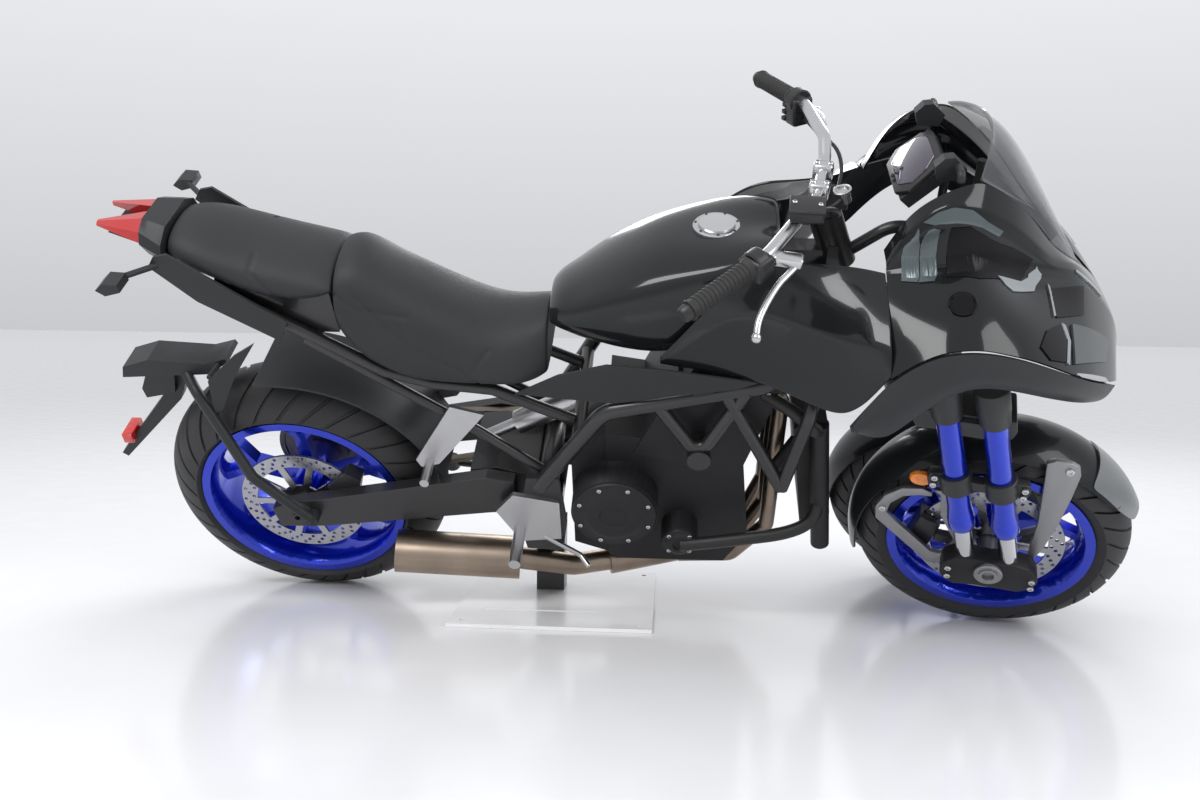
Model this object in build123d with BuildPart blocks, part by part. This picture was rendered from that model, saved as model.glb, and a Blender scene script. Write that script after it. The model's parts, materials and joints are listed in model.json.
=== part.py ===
"""Motorized trike: a motorcycle with two leaning front wheels, on its display column.

The vehicle is drawn upright in its own frame, with X forward from the rear axle, Y to the left and
Z up from the ground. At the end every piece is leaned to the right as it stands on the column.
The front wheels hang on two cross arms. Each arm turns about a pin in the middle of the frame and
carries a steering head at each end, so one wheel rises as the other drops. A fork on the outer side
of each wheel turns in each head about a raked axis.
"""
from build123d import *
import os
from collections import namedtuple
from math import atan2, cos, degrees, radians, sin, tan

# Driving dimensions, in millimetres and degrees
wheelbase = 1510
track = 410
lean = 35
steer = 11.6
rake = 20
trail = 74
pin_gap = 0.05
open_pin_gap = 1.0
seat_gap = 0.3

rear_ring_r = 225.5
rear_tube_r = 95
front_ring_r = 214.5
front_tube_r = 60

front_wheel_r = front_ring_r + front_tube_r
rear_wheel_r = rear_ring_r + rear_tube_r
rear_axle_z = rear_wheel_r

# How the leaned vehicle meets the ground: the round tyre treads roll sideways as it leans
lift = rear_tube_r * (1 - cos(radians(lean)))
mid_hub_z = (front_ring_r * cos(radians(lean)) + front_tube_r - lift) / cos(radians(lean))
arm_half = track / 2
hub_y = arm_half * cos(radians(lean))
hub_rise = arm_half * sin(radians(lean))

# The steering axis of a fork, drawn about its own front hub
steer_x = trail - front_wheel_r * tan(radians(rake))
steer_axis = Axis((steer_x, 0, 0), (-sin(radians(rake)), 0, cos(radians(rake))))

RIGHT = -1
LEFT = 1
side_name = {RIGHT: "right", LEFT: "left"}

pieces = {}


def keep(node, shape):
    """Stores a finished piece, in the upright frame, under its node's name."""
    shape.label = node
    pieces[node] = shape


def axis_x(z):
    """The steering axis's place along X at height z above the front hub."""
    return steer_x - z * tan(radians(rake))


def on_head(shape, side):
    """Puts a piece drawn about the front hub where the risen or dropped head has it."""
    return shape.moved(Location((wheelbase, side * hub_y, mid_hub_z - side * hub_rise)))


def on_fork(shape, side):
    """Puts a piece drawn about the front hub where the turned fork has it."""
    return on_head(shape.rotate(steer_axis, -steer), side)


def tube(points, radius, bend=30):
    """Adds a round tube along straight runs joined by bends, to the part being built."""
    with BuildLine() as route:
        if len(points) == 2:
            Line(*points)
        else:
            FilletPolyline(*points, radius=bend)
    with BuildSketch(Plane(origin=route.line @ 0, z_dir=route.line % 0)) as end:
        Circle(radius)
    sweep(end.sketch, path=route.line)


def rod(start, end, radius, mode=Mode.ADD):
    """Adds or cuts a round rod between two points."""
    run = Vector(*end) - Vector(*start)
    with BuildSketch(Plane(origin=start, z_dir=run)) as end:
        Circle(radius)
    extrude(end.sketch, amount=run.length, mode=mode)


def plate(outline, y_low, y_high, mode=Mode.ADD):
    """Adds a plate seen from the side: an outline of (x, z) points, between two values of y."""
    with BuildSketch(Plane.XZ.offset(-y_high)) as side_view:
        with BuildLine():
            Polyline(*outline, close=True)
        make_face()
    extrude(side_view.sketch, amount=y_high - y_low, mode=mode)


# One cross-section of a body, the same on both sides: half-widths and heights at four levels
Station = namedtuple("Station", "x low_w low_z side_w side_z shoulder_w shoulder_z top_w top_z")


def section_sketch(x, outline):
    """Draws a closed outline of (y, z) points across the vehicle at x."""
    with BuildSketch(Plane(origin=(x, 0, 0), x_dir=(0, 1, 0), z_dir=(1, 0, 0))) as section:
        with BuildLine():
            Polyline(*outline, close=True)
        make_face()
    return section.sketch


def body_loft(stations, mode=Mode.ADD):
    """Lofts a body of straight-sided sections, from a table of stations."""
    sections = []
    for s in stations:
        half = [(s.low_w, s.low_z), (s.side_w, s.side_z), (s.shoulder_w, s.shoulder_z), (s.top_w, s.top_z)]
        sections.append(section_sketch(s.x, [(-w, z) for w, z in half] + [(w, z) for w, z in reversed(half)]))
    loft(sections, ruled=True, mode=mode)


# Wheels
Wheel = namedtuple("Wheel", "ring_r tube_r seat_r bead_half flange_r rim_half hub_r hub_half axle_r "
                            "spokes spoke_w spoke_t spoke_shift disc_r disc_band disc_t disc_y")
rear_wheel = Wheel(rear_ring_r, rear_tube_r, 218, 77, 232, 86, 42, 78, 12,
                   5, 20, 34, 0, 141, 34, 5, -84)
front_wheel = Wheel(front_ring_r, front_tube_r, 190.5, 44, 205, 52, 34, 34, 12,
                    5, 18, 24, -14, 149, 32, 5, 40)
shoulder_angle = 80
rim_wall = 16
flange_t = 7
wheel_plane = Plane(origin=(0, 0, 0), x_dir=(0, 1, 0), z_dir=(1, 0, 0))


def make_tyre(w):
    shoulder = (w.tube_r * sin(radians(shoulder_angle)),
                w.ring_r + w.tube_r * cos(radians(shoulder_angle)))
    with BuildPart() as tyre:
        with BuildSketch(wheel_plane):
            with BuildLine():
                Polyline((-shoulder[0], shoulder[1]), (-w.bead_half, w.flange_r), (-w.bead_half, w.seat_r),
                         (w.bead_half, w.seat_r), (w.bead_half, w.flange_r), shoulder)
                ThreePointArc(shoulder, (0, w.ring_r + w.tube_r), (-shoulder[0], shoulder[1]))
            make_face()
        revolve(axis=Axis.Y)
    return tyre.part


def make_rim(w, out):
    """A cast rim with forked spokes. The disc side is at out times +Y."""
    with BuildPart() as rim:
        with BuildSketch(wheel_plane):
            with BuildLine():
                Polyline((-w.rim_half, w.flange_r), (-w.rim_half + flange_t, w.flange_r),
                         (-w.bead_half, w.seat_r), (w.bead_half, w.seat_r),
                         (w.rim_half - flange_t, w.flange_r), (w.rim_half, w.flange_r),
                         (w.rim_half, w.seat_r - 4), (w.bead_half - 18, w.seat_r - rim_wall),
                         (-w.bead_half + 18, w.seat_r - rim_wall), (-w.rim_half, w.seat_r - 4), close=True)
            make_face()
        revolve(axis=Axis.Y)
        with BuildSketch(Plane.XZ.offset(-w.hub_half)):
            Circle(w.hub_r)
        extrude(amount=2 * w.hub_half)
        fork_r = 0.5 * (w.hub_r + w.seat_r)
        spread = 180 / w.spokes / 2.2
        rim_r = w.seat_r - rim_wall + 4
        spoke_mid = out * w.spoke_shift
        with BuildSketch(Plane.XZ.offset(-spoke_mid - w.spoke_t / 2)):
            with PolarLocations(0, w.spokes, start_angle=90):
                with Locations((fork_r / 2, 0)):
                    Rectangle(fork_r, 1.5 * w.spoke_w)
                for turn in (-spread, spread):
                    branch = Vector(rim_r * cos(radians(turn)) - fork_r, rim_r * sin(radians(turn)))
                    with Locations((fork_r + branch.X / 2, branch.Y / 2)):
                        Rectangle(branch.length + w.spoke_w / 2, w.spoke_w,
                                  rotation=degrees(atan2(branch.Y, branch.X)))
        extrude(amount=w.spoke_t)
        rod((0, -w.hub_half - 1, 0), (0, w.hub_half + 1, 0), w.axle_r + pin_gap, mode=Mode.SUBTRACT)
    return rim.part


def make_disc(w, out):
    """A brake disc: an outer band on a spider of arms that is bolted to the hub's end."""
    arm_w = 16
    with BuildPart() as disc:
        with BuildSketch(Plane.XZ.offset(-out * w.disc_y - w.disc_t / 2)):
            Circle(w.disc_r)
            Circle(w.disc_r - w.disc_band, mode=Mode.SUBTRACT)
            with PolarLocations(0, 2 * w.spokes):
                with Locations((0.5 * (w.disc_r - w.disc_band), 0)):
                    Rectangle(w.disc_r - w.disc_band + 6, arm_w)
            Circle(w.hub_r + 8)
            Circle(w.axle_r + 12, mode=Mode.SUBTRACT)
        extrude(amount=w.disc_t)
        if abs(w.disc_y) - w.disc_t / 2 > w.hub_half:
            near = out * w.hub_half * (1 if w.disc_y > 0 else -1)
            far = out * (w.disc_y - (w.disc_t / 2 if w.disc_y > 0 else -w.disc_t / 2))
            rod((0, near, 0), (0, far, 0), w.hub_r)
            rod((0, near - 1, 0), (0, far, 0), w.axle_r + 12, mode=Mode.SUBTRACT)
            rod((0, near, 0), (0, far + 1, 0), w.axle_r + 12, mode=Mode.SUBTRACT)
    return disc.part


rear_hub = Location((0, 0, rear_axle_z))
keep("tyre_rear", make_tyre(rear_wheel).moved(rear_hub))
keep("rim_rear", make_rim(rear_wheel, 1).moved(rear_hub))
keep("disc_rear", make_disc(rear_wheel, 1).moved(rear_hub))
for side in (RIGHT, LEFT):
    keep(f"tyre_front_{side_name[side]}", on_fork(make_tyre(front_wheel), side))
    keep(f"rim_front_{side_name[side]}", on_fork(make_rim(front_wheel, side), side))
    keep(f"disc_front_{side_name[side]}", on_fork(make_disc(front_wheel, side), side))

# Steering heads, on the ends of the two cross arms
head_low = 402
head_high = 600
head_r = 36
stem_r = 17
arm_low = 430
arm_high = 570
arm_back = 78
arm_t = 36
arm_pin_r = 12
arm_boss_r = 30
arm_low_x = wheelbase + axis_x(arm_low) - arm_back
arm_high_x = wheelbase + axis_x(arm_high) - arm_back
washer = 2

for side in (RIGHT, LEFT):
    with BuildPart() as head:
        rod((axis_x(head_low), 0, head_low), (axis_x(head_high), 0, head_high), head_r)
        for height, arm_x in ((arm_low, arm_low_x), (arm_high, arm_high_x)):
            face_x = arm_x - wheelbase + arm_t / 2 + washer
            rod((axis_x(height), 0, height), (face_x, 0, height), 24)
            rod((axis_x(height), 0, height), (face_x - washer - arm_t - 8, 0, height), arm_pin_r)
        rod((axis_x(head_low - 60), 0, head_low - 60), (axis_x(head_high + 60), 0, head_high + 60),
            stem_r + pin_gap, mode=Mode.SUBTRACT)
    keep(f"head_{side_name[side]}", on_head(head.part, side))

# Cross arms: a beam across the vehicle that turns about a pin in the middle
tilt = Location((0, 0, 0), (-lean, 0, 0))
for node, arm_x, height, end_gap in (("arm_upper", arm_high_x, arm_high, pin_gap),
                                     ("arm_lower", arm_low_x, arm_low, open_pin_gap)):
    with BuildPart() as arm:
        with BuildSketch(Plane.YZ.offset(-arm_t / 2)):
            with BuildLine():
                Polyline((-arm_half, -14), (-60, -20), (60, -20), (arm_half, -14),
                         (arm_half, 14), (60, 20), (-60, 20), (-arm_half, 14), close=True)
            make_face()
            with Locations((-arm_half, 0), (arm_half, 0)):
                Circle(arm_boss_r)
            Circle(38)
            with Locations((-arm_half, 0), (arm_half, 0)):
                Circle(arm_pin_r + end_gap, mode=Mode.SUBTRACT)
            Circle(arm_pin_r + 4 + pin_gap, mode=Mode.SUBTRACT)
        extrude(amount=arm_t)
    keep(node, arm.part.moved(Location((arm_x, 0, mid_hub_z + height)) * tilt))

# Forks, on the outer side of each front wheel
fork_y = 102
fork_rake = 15
fork_foot = {"back": -42, "front": 42}
fork_top = 470
chrome_r = 16.5
outer_r = 21.5
sleeve_r = 26
bracket_low = 346
bracket_high = 394
mid_clamp_z = 232


def fork_x(foot, z):
    """A fork tube's place along X at height z above the hub."""
    return foot - z * tan(radians(fork_rake))


def fork_run(foot, side, z_from, z_to, radius):
    rod((fork_x(foot, z_from), side * fork_y, z_from), (fork_x(foot, z_to), side * fork_y, z_to), radius)


for side in (RIGHT, LEFT):
    with BuildPart() as fork:
        for foot in fork_foot.values():
            fork_run(foot, side, -10, 150, chrome_r)
            fork_run(foot, side, 110, fork_top, outer_r)
            fork_run(foot, side, 300, fork_top - 20, sleeve_r)
        # The bottom casting that joins the two tubes and holds the stub axle
        plate([(-86, -34), (-60, -52), (70, -46), (92, -20), (78, 30), (-70, 30)],
              min(side * 76, side * 124), max(side * 76, side * 124))
        rod((0, side * 124, 0), (0, side * -40, 0), front_wheel.axle_r)
        rod((0, side * 76, 0), (0, side * (front_wheel.disc_y + 4), 0), front_wheel.axle_r + 8)
        rod((0, side * 124, 0), (0, side * 136, 0), 19)
        # The middle clamp
        for foot in fork_foot.values():
            fork_run(foot, side, mid_clamp_z - 22, mid_clamp_z + 22, outer_r + 8)
        plate([(fork_x(fork_foot["back"], mid_clamp_z), mid_clamp_z - 18),
               (fork_x(fork_foot["front"], mid_clamp_z), mid_clamp_z - 18),
               (fork_x(fork_foot["front"], mid_clamp_z), mid_clamp_z + 18),
               (fork_x(fork_foot["back"], mid_clamp_z), mid_clamp_z + 18)],
              side * fork_y - 14, side * fork_y + 14)
        # The bracket that reaches in over the wheel to the steering stem
        with BuildSketch(Plane.XY.offset(bracket_low)):
            with BuildLine():
                Polyline((axis_x(bracket_low) - 34, side * -30), (axis_x(bracket_low) + 34, side * -30),
                         (fork_x(fork_foot["front"], bracket_low) + 30, side * (fork_y - 10)),
                         (fork_x(fork_foot["front"], bracket_low) + 22, side * (fork_y + 28)),
                         (fork_x(fork_foot["back"], bracket_low) - 30, side * (fork_y + 28)),
                         close=True)
            make_face()
        extrude(amount=bracket_high - bracket_low)
        rod((axis_x(bracket_low), 0, bracket_low), (axis_x(head_high + 3), 0, head_high + 3), stem_r)
        rod((axis_x(head_high + 3), 0, head_high + 3), (axis_x(head_high + 18), 0, head_high + 18), 26)
    keep(f"fork_{side_name[side]}", on_fork(fork.part, side))

# Front brake calipers, on the fork's bottom casting
pad_gap = 1.5


def caliper_slot(w, middle):
    """Cuts the running slot for a disc out of a caliper drawn about the hub."""
    half = w.disc_t / 2 + pad_gap
    rod((0, middle - half, 0), (0, middle + half, 0), w.disc_r + 2, mode=Mode.SUBTRACT)


for side in (RIGHT, LEFT):
    with BuildPart() as caliper:
        disc_mid = side * front_wheel.disc_y
        plate([(-166, -30), (-146, 62), (-104, 44), (-124, -38)], disc_mid - 20, disc_mid + 20)
        caliper_slot(front_wheel, disc_mid)
        lug = sorted((side * 60, side * 76))
        plate([(-112, 14), (-110, 36), (-62, 30), (-62, 10)], lug[0], lug[1])
    keep(f"caliper_front_{side_name[side]}", on_fork(caliper.part, side))

# Front fenders, close round each tyre and carried by the fork's castings
fender_gap = 14
fender_t = 4
fender_half = 70
fender_drop = 24
fender_from = -62
fender_to = 108
fender_in_r = front_wheel_r + fender_gap
fender_out_r = fender_in_r + fender_t


def wheel_point(radius, angle):
    """A point (x, z) round the hub, with the angle from straight up towards the back."""
    return (-radius * sin(radians(angle)), radius * cos(radians(angle)))


for side in (RIGHT, LEFT):
    with BuildPart() as fender:
        with BuildSketch(wheel_plane):
            with BuildLine():
                ThreePointArc((-fender_half, fender_in_r - fender_drop), (0, fender_in_r),
                              (fender_half, fender_in_r - fender_drop))
                Line((fender_half, fender_in_r - fender_drop), (fender_half, fender_out_r - fender_drop))
                ThreePointArc((fender_half, fender_out_r - fender_drop), (0, fender_out_r),
                              (-fender_half, fender_out_r - fender_drop))
                Line((-fender_half, fender_out_r - fender_drop), (-fender_half, fender_in_r - fender_drop))
            make_face()
        revolve(axis=Axis.Y, revolution_arc=fender_to - fender_from)
        turned = fender.part.rotate(Axis.Y, -fender_to)
    with BuildPart() as fender:
        add(turned)
        # Side fins that run down from the fender to the casting, ahead of and behind the tubes
        y_in = side * (fender_half - fender_t)
        y_out = side * fender_half
        plate([(60, 285), (118, 268), (128, 60), (96, -10), (74, 30), (92, 120)],
              min(y_in, y_out), max(y_in, y_out))
        plate([(-200, 214), (-150, 248), (-132, 155), (-156, 60), (-96, -14), (-62, -22), (-62, -46),
               (-116, -50), (-236, 60), (-236, 160)], min(y_in, y_out), max(y_in, y_out))
        y_far = side * 76
        plate([(-80, -20), (-62, -20), (-62, -44), (-80, -40)], min(y_out, y_far), max(y_out, y_far))
        plate([(70, 24), (90, 20), (96, -10), (80, -20)], min(y_out, y_far), max(y_out, y_far))
    keep(f"fender_front_{side_name[side]}", on_fork(fender.part, side))

# Frame: a head tube for the bar, two side rails, pivot plates and the tower that carries the arms
bar_head = Vector(1106, 0, 1068)
bar_dir = Vector(-sin(radians(rake)), 0, cos(radians(rake)))


def on_bar_axis(distance):
    """A point on the bar's steering axis, at a distance below its clamp."""
    return tuple(bar_head - bar_dir * distance)


pivot_x = 565
pivot_z = 400
pivot_half = 134
pivot_r = 12
plate_out = pivot_half + 16
rail_r = 17
rail_back = (704, 680)
rail_front = (1042, 757)
cross_z = 167
tower_back = 1128
tower_front = arm_high_x - arm_t / 2 - washer
tank_front = 1040
dash_post_x = 1330
cowl_post_x = 1390
cowl_post_top = 1145
post_r = 8

with BuildPart() as frame:
    rod(on_bar_axis(150), on_bar_axis(33), 32)
    for side in (RIGHT, LEFT):
        tube([(556, side * 142, 440), (rail_back[0], side * 175, rail_back[1]),
              (rail_front[0], side * 170, rail_front[1]),
              (1128, side * 30, 930)], rail_r, 60)
        tube([(812, side * 176, 700), (895, side * 182, 575), (985, side * 174, 740)], 14, 25)
        tube([(940, side * 174, 738), (1066, side * 192, 500)], 14)
        tube([(1066, side * 192, 500), (1108, side * 196, 700), (1140, side * 30, 830)], 14, 40)
        rod((895, side * (140 + seat_gap), 575), (895, side * 200, 575), 24)
        plate([(520, 255), (600, 250), (612, 330), (600, 470), (530, 470), (508, 330)],
              min(side * pivot_half, side * plate_out), max(side * pivot_half, side * plate_out))
    plate([(536, cross_z), (576, cross_z), (590, 260), (520, 260)], pivot_half, plate_out)
    with BuildSketch(Plane.YZ.offset(536)):
        with BuildLine():
            Polyline((pivot_half, cross_z), (pivot_half, cross_z + 34), (-74, cross_z + 34), (-pivot_half, 300),
                     (-pivot_half, 262), (-84, cross_z), close=True)
        make_face()
    extrude(amount=40)
    rod((647, -163, 588), (647, 163, 588), 14)
    rod((pivot_x, -plate_out, pivot_z), (pivot_x, plate_out, pivot_z), pivot_r)
    with BuildSketch(Plane.YZ.offset(tower_back)):
        with BuildLine():
            Polyline((-34, 646.3), (34, 646.3), (44, 760), (34, 980), (-34, 980), (-44, 760), close=True)
        make_face()
    extrude(amount=tower_front - 30 - tower_back)
    for height, arm_x in ((arm_low, arm_low_x), (arm_high, arm_high_x)):
        pivot_height = mid_hub_z + height
        rod((tower_back, 0, pivot_height), (arm_x - arm_t / 2 - washer, 0, pivot_height), 30)
        rod((tower_back, 0, pivot_height), (arm_x + arm_t / 2 + 6, 0, pivot_height), arm_pin_r + 4)
    # The tongue that holds the front of the tank
    plate([(tank_front + seat_gap, 925), (1130, 925), (1126, 965), (tank_front + seat_gap, 965)], -22, 22)
    # The stay that runs forward over the arms to the lamps and the cowl
    tube([(1142, 0, 930), (1250, 0, 1010), (1470, 0, 960), (1556, 0, 850)], 12, 60)
    rod((dash_post_x, 0, 988), (dash_post_x, 0, 1140), post_r)
    rod((cowl_post_x, 0, 974), (cowl_post_x, 0, cowl_post_top), post_r)
    rod(on_bar_axis(200), on_bar_axis(0), stem_r + pin_gap, mode=Mode.SUBTRACT)
keep("frame", frame.part)

# Rear subframe under the seats
subframe_r = 13
cross_r = 11
with BuildPart() as subframe:
    for side in (RIGHT, LEFT):
        tube([(634.5, side * 100, 595.1), (560, side * 100, 630), (470, side * 98, 672), (345, side * 96, 684),
              (250, side * 95, 712), (-134, side * 80, 944)], subframe_r, 40)
        tube([(560, side * 113.4, 466), (430, side * 100, 560), (100, side * 93, 790)], 11, 40)
    for x, z in ((120, 790), (-110, 930)):
        rod((x, -90, z), (x, 90, z), cross_r)
    # The tray under the passenger's seat
    plate([(-70, 900), (110, 795), (165, 795), (160, 890 - seat_gap), (120, 890 - seat_gap),
           (47, 895 - seat_gap), (-25, 925 - seat_gap), (-60, 930)], -76, 76)
keep("subframe", subframe.part)

# Engine: crankcase, leaning cylinders with their head, side covers and sump
with BuildPart() as engine:
    plate([(702, 230), (720, 214), (960, 214), (1010, 300), (990, 520), (880, 560), (702, 590)], -135, 135)
    plate([(626, 260), (702, 230), (702, 590), (628, 520)], -130, 96)
    plate([(760, 540), (980, 480), (1050, 700), (960, 760), (850, 730)], -140, 140)
    plate([(850, 716), (1050, 690), (1036, 780), (900, 800)], -142, 142)
    plate([(720, 160), (930, 160), (950, 216), (710, 216)], 60, 128)
    rod((721, -130, 420), (721, -198, 420), 92)
    rod((721, -198, 420), (721, -206, 420), 66)
    rod((860, -130, 330), (860, -188, 330), 40)
    rod((880, 130, 400), (880, 200, 400), 88)
    rod((700, 124, 390), (700, 160, 390), 70)
    rod((760, 124, 390), (760, 140, 390), 40)
keep("engine", engine.part)

with BuildPart() as radiator:
    plate([(1118, 640), (1150, 646), (1186, 300), (1154, 294)], -150, 150)
    plate([(1090, 600), (1122, 604), (1156, 330), (1124, 326)], -120, 120)
    for side in (RIGHT, LEFT):
        rod((1134, side * 150, 640), (1168, side * 150, 298), 20)
    rod((1100, -110, 560), (1055, -136, 500), 16)
keep("radiator", radiator.part)

# Exhaust: three pipes down the front of the engine into a collector and a short silencer
silencer_start = Vector(500, -142, 214)
silencer_end = Vector(222, -160, 246)
with BuildPart() as exhaust:
    for y in (-80, 0, 80):
        tube([(1037.7, y, 660), (1062.6, y, 652), (1056, y, 280), (980, y * 0.4 - 40, 172),
              (860, y * 0.35 - 50, 172)], 17, 22)
    rod((880, -50, 176), (700, -105, 176), 34)
    tube([(710, -102, 176), (620, -131, 184), (490, -142, 214)], 25, 60)
    with BuildSketch(Plane(origin=silencer_start, x_dir=(0, 1, 0), z_dir=silencer_end - silencer_start)):
        Ellipse(52, 44)
    extrude(amount=(silencer_end - silencer_start).length)
keep("exhaust", exhaust.part)

# Swingarm with the rear axle and the rear caliper, on the frame's pivot
axle_bore_r = 6
arm_side = {RIGHT: (102, pivot_half - 2), LEFT: (122, pivot_half + 14)}
with BuildPart() as swingarm:
    rod((pivot_x, 4 - pivot_half, pivot_z), (pivot_x, pivot_half - 4, pivot_z), 27)
    plate([(460, 452), (545, 425), (545, 375), (460, 350), (400, 356), (400, 444)], -98, 98)
    for side, (y_near, y_far) in arm_side.items():
        y_in = side * y_near
        y_out = side * y_far
        plate([(500, 440), (500, 352), (440, 346), (60, 290), (-46, 286), (-56, 340), (-20, 356),
               (110, 384), (440, 452)], min(y_in, y_out), max(y_in, y_out))
        plate([(500, 418), (500, 352), (400, 332), (400, 418)], min(side * 90, y_in), max(side * 90, y_in))
    rod((0, -140, rear_axle_z), (0, 160, rear_axle_z), rear_wheel.axle_r)
    rod((0, -102, rear_axle_z), (0, -86.8, rear_axle_z), rear_wheel.axle_r + 9)
    rod((pivot_x, -140, pivot_z), (pivot_x, 140, pivot_z), pivot_r + pin_gap, mode=Mode.SUBTRACT)
    rod((0, -150, rear_axle_z), (0, 170, rear_axle_z), axle_bore_r, mode=Mode.SUBTRACT)
keep("swingarm", swingarm.part)

with BuildPart() as caliper_rear:
    disc_mid = rear_wheel.disc_y
    plate([(70, 62), (120, 104), (150, 84), (136, 36), (98, 20)], disc_mid - 17.8, disc_mid + 20)
    caliper_slot(rear_wheel, disc_mid)
keep("caliper_rear", caliper_rear.part.moved(rear_hub))

# Final drive on the left: a chain loop, the rear sprocket inside it and the engine's one
chain_y = 112
chain_w = 16
chain_t = 12
front_sprocket_x = 650
front_sprocket_z = 400
front_sprocket_r = 38
rear_sprocket_r = 98
with BuildPart() as chain:
    for grow, mode in ((chain_t, Mode.ADD), (0, Mode.SUBTRACT)):
        with BuildSketch(Plane.XZ.offset(-chain_y - chain_w / 2)):
            with Locations((0, rear_axle_z)):
                Circle(rear_sprocket_r + grow)
            with Locations((front_sprocket_x, front_sprocket_z)):
                Circle(front_sprocket_r + grow)
            make_hull()
        extrude(amount=chain_w, mode=mode)
keep("chain", chain.part)

with BuildPart() as sprocket:
    rod((0, chain_y - 4, rear_axle_z), (0, chain_y + 4, rear_axle_z), rear_sprocket_r - 0.5)
    rod((0, rear_wheel.hub_half, rear_axle_z), (0, chain_y - 4, rear_axle_z), 60)
    rod((0, 70, rear_axle_z), (0, 130, rear_axle_z), rear_wheel.axle_r + pin_gap, mode=Mode.SUBTRACT)
keep("sprocket_rear", sprocket.part)

with BuildPart() as shock:
    rod((425.7, 0, 460.2), (520, 0, 512), 13)
    rod((500, 0, 501), (637.3, 0, 576), 27)
keep("rear_shock", shock.part)

# Fuel tank
cap_x = 918
cap_z = 1004
cap_r = 34
tank_side_w = 160
tank_boss_x = 948
tank_boss_z = 945
with BuildPart() as tank:
    body_loft([
        Station(592, 62, 815, 70, 826, 60, 845, 34, 856),
        Station(640, 95, 806, 106, 851, 88, 872, 45, 888),
        Station(680, 115, 800, 125, 876, 100, 896, 50, 914),
        Station(742, 138, 796, 146, 911, 115, 931, 55, 950),
        Station(809, 150, 792, 163, 922, 125, 962, 62, 984),
        Station(893, 152, 812, 164, 925, 130, 998, 95, 1000),
        Station(tank_boss_x, 150, 818, tank_side_w, tank_boss_z, 126, 1010, 90, 1003),
        Station(994, 132, 835, 148, 958, 120, 1016, 85, 1009),
        Station(tank_front, 90, 890, 124, 975, 106, 1016, 75, 1011),
    ])
    rod((cap_x, 0, 960), (cap_x, 0, cap_z), 48)
    rod((cap_x, 0, 940), (cap_x, 0, cap_z + 5), 24, mode=Mode.SUBTRACT)
keep("fuel_tank", tank.part)

with BuildPart() as fuel_cap:
    with BuildSketch(Plane.XY.offset(cap_z + 0.3)):
        with Locations((cap_x, 0)):
            Circle(cap_r)
    extrude(amount=7)
keep("fuel_cap", fuel_cap.part)

# Seats
with BuildPart() as rider_seat:
    body_loft([
        Station(178, 95, 802, 115, 878, 95, 924, 55, 944),
        Station(230, 118, 747, 136, 792, 102, 922, 57, 950),
        Station(278, 116, 724, 146, 732, 108, 879, 60, 914),
        Station(333, 118, 706, 147, 724, 111, 850, 62, 882),
        Station(409, 118, 703, 147, 720, 109, 810, 62, 838),
        Station(481, 116, 700, 146, 712, 105, 785, 58, 808),
        Station(545, 112, 700, 140, 704, 92, 797, 50, 813),
        Station(588, 95, 716, 115, 728, 72, 812, 36, 826),
    ])
    for side in (RIGHT, LEFT):
        # The wings that run forward under the tank, and rubber feet on the subframe
        plate([(560, 708), (610, 724), (655, 752), (706, 784), (700, 790), (586, 796)],
              min(side * 96, side * 126), max(side * 96, side * 126))
        rod((400, side * 97, 693.3), (400, side * 97, 710), 12)
keep("rider_seat", rider_seat.part)

with BuildPart() as passenger_seat:
    body_loft([
        Station(-138, 64, 968, 84, 978, 76, 1003, 46, 1014),
        Station(-82, 90, 945, 112, 972, 98, 990, 56, 1008),
        Station(-25, 100, 925, 121, 945, 106, 968, 60, 988),
        Station(47, 104, 895, 123, 914, 108, 948, 62, 968),
        Station(120, 104, 890, 121, 906, 104, 930, 60, 950),
        Station(174, 92, 900, 110, 914, 88, 926, 50, 934),
    ])
keep("passenger_seat", passenger_seat.part)

# Tail unit between the seat and the lamps
with BuildPart() as tail_cowl:
    body_loft([
        Station(-190, 56, 962, 82, 1000, 70, 1020, 40, 1034),
        Station(-142, 78, 952, 104, 985, 94, 1004, 55, 1024),
    ])
    # The fin under the lamps
    plate([(-180, 966), (-266, 1004), (-186, 999.7)], -44, 44)
    # The tongue that lies on the subframe's last cross tube, under the seat
    plate([(-146, 955), (-122, 930 + cross_r + seat_gap), (-98, 930 + cross_r + seat_gap), (-98, 951.2),
           (-134, 966), (-139, 966.5), (-146, 980)], -60, 60)
keep("tail_cowl", tail_cowl.part)

with BuildPart() as tail_lights:
    for side in (RIGHT, LEFT):
        lamp_root = section_sketch(-190 - seat_gap, [(side * 10, 1000), (side * 78, 1000), (side * 68, 1018),
                                                     (side * 38, 1032), (side * 10, 1032)])
        lamp_tip = section_sketch(-282, [(side * 34, 1019), (side * 47, 1020), (side * 46, 1024),
                                         (side * 40, 1027), (side * 34, 1027)])
        loft([lamp_root, lamp_tip], ruled=True)
keep("tail_lights", tail_lights.part)


def subframe_tube(x):
    """The middle (y, z) of the subframe's upper tube at x, behind its last bend."""
    share = (250 - x) / 384
    return 95 - 15 * share, 712 + 232 * share


# Grab rails: a flat bar along each side of the passenger's seat, with the rear indicators' stalks
with BuildPart() as grab_rails:
    for side in (RIGHT, LEFT):
        plate([(-157, 982), (-142, 1004), (-116, 1009), (36, 894), (86, 860), (64, 812), (-81, 904)],
              min(side * 127, side * 134), max(side * 127, side * 134))
        for x in (-62, 56):
            tube_y, tube_z = subframe_tube(x)
            rod((x, side * (tube_y + subframe_r + seat_gap), tube_z + 4), (x, side * 130, tube_z + 4), 9)
        rod((-140, side * 130, 984), (-188, side * 182, 990), 6)
        plate([(-176, 982), (-206, 974), (-222, 986), (-206, 1000), (-178, 998)],
              min(side * 178, side * 222), max(side * 178, side * 222))
keep("grab_rails", grab_rails.part)

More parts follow.
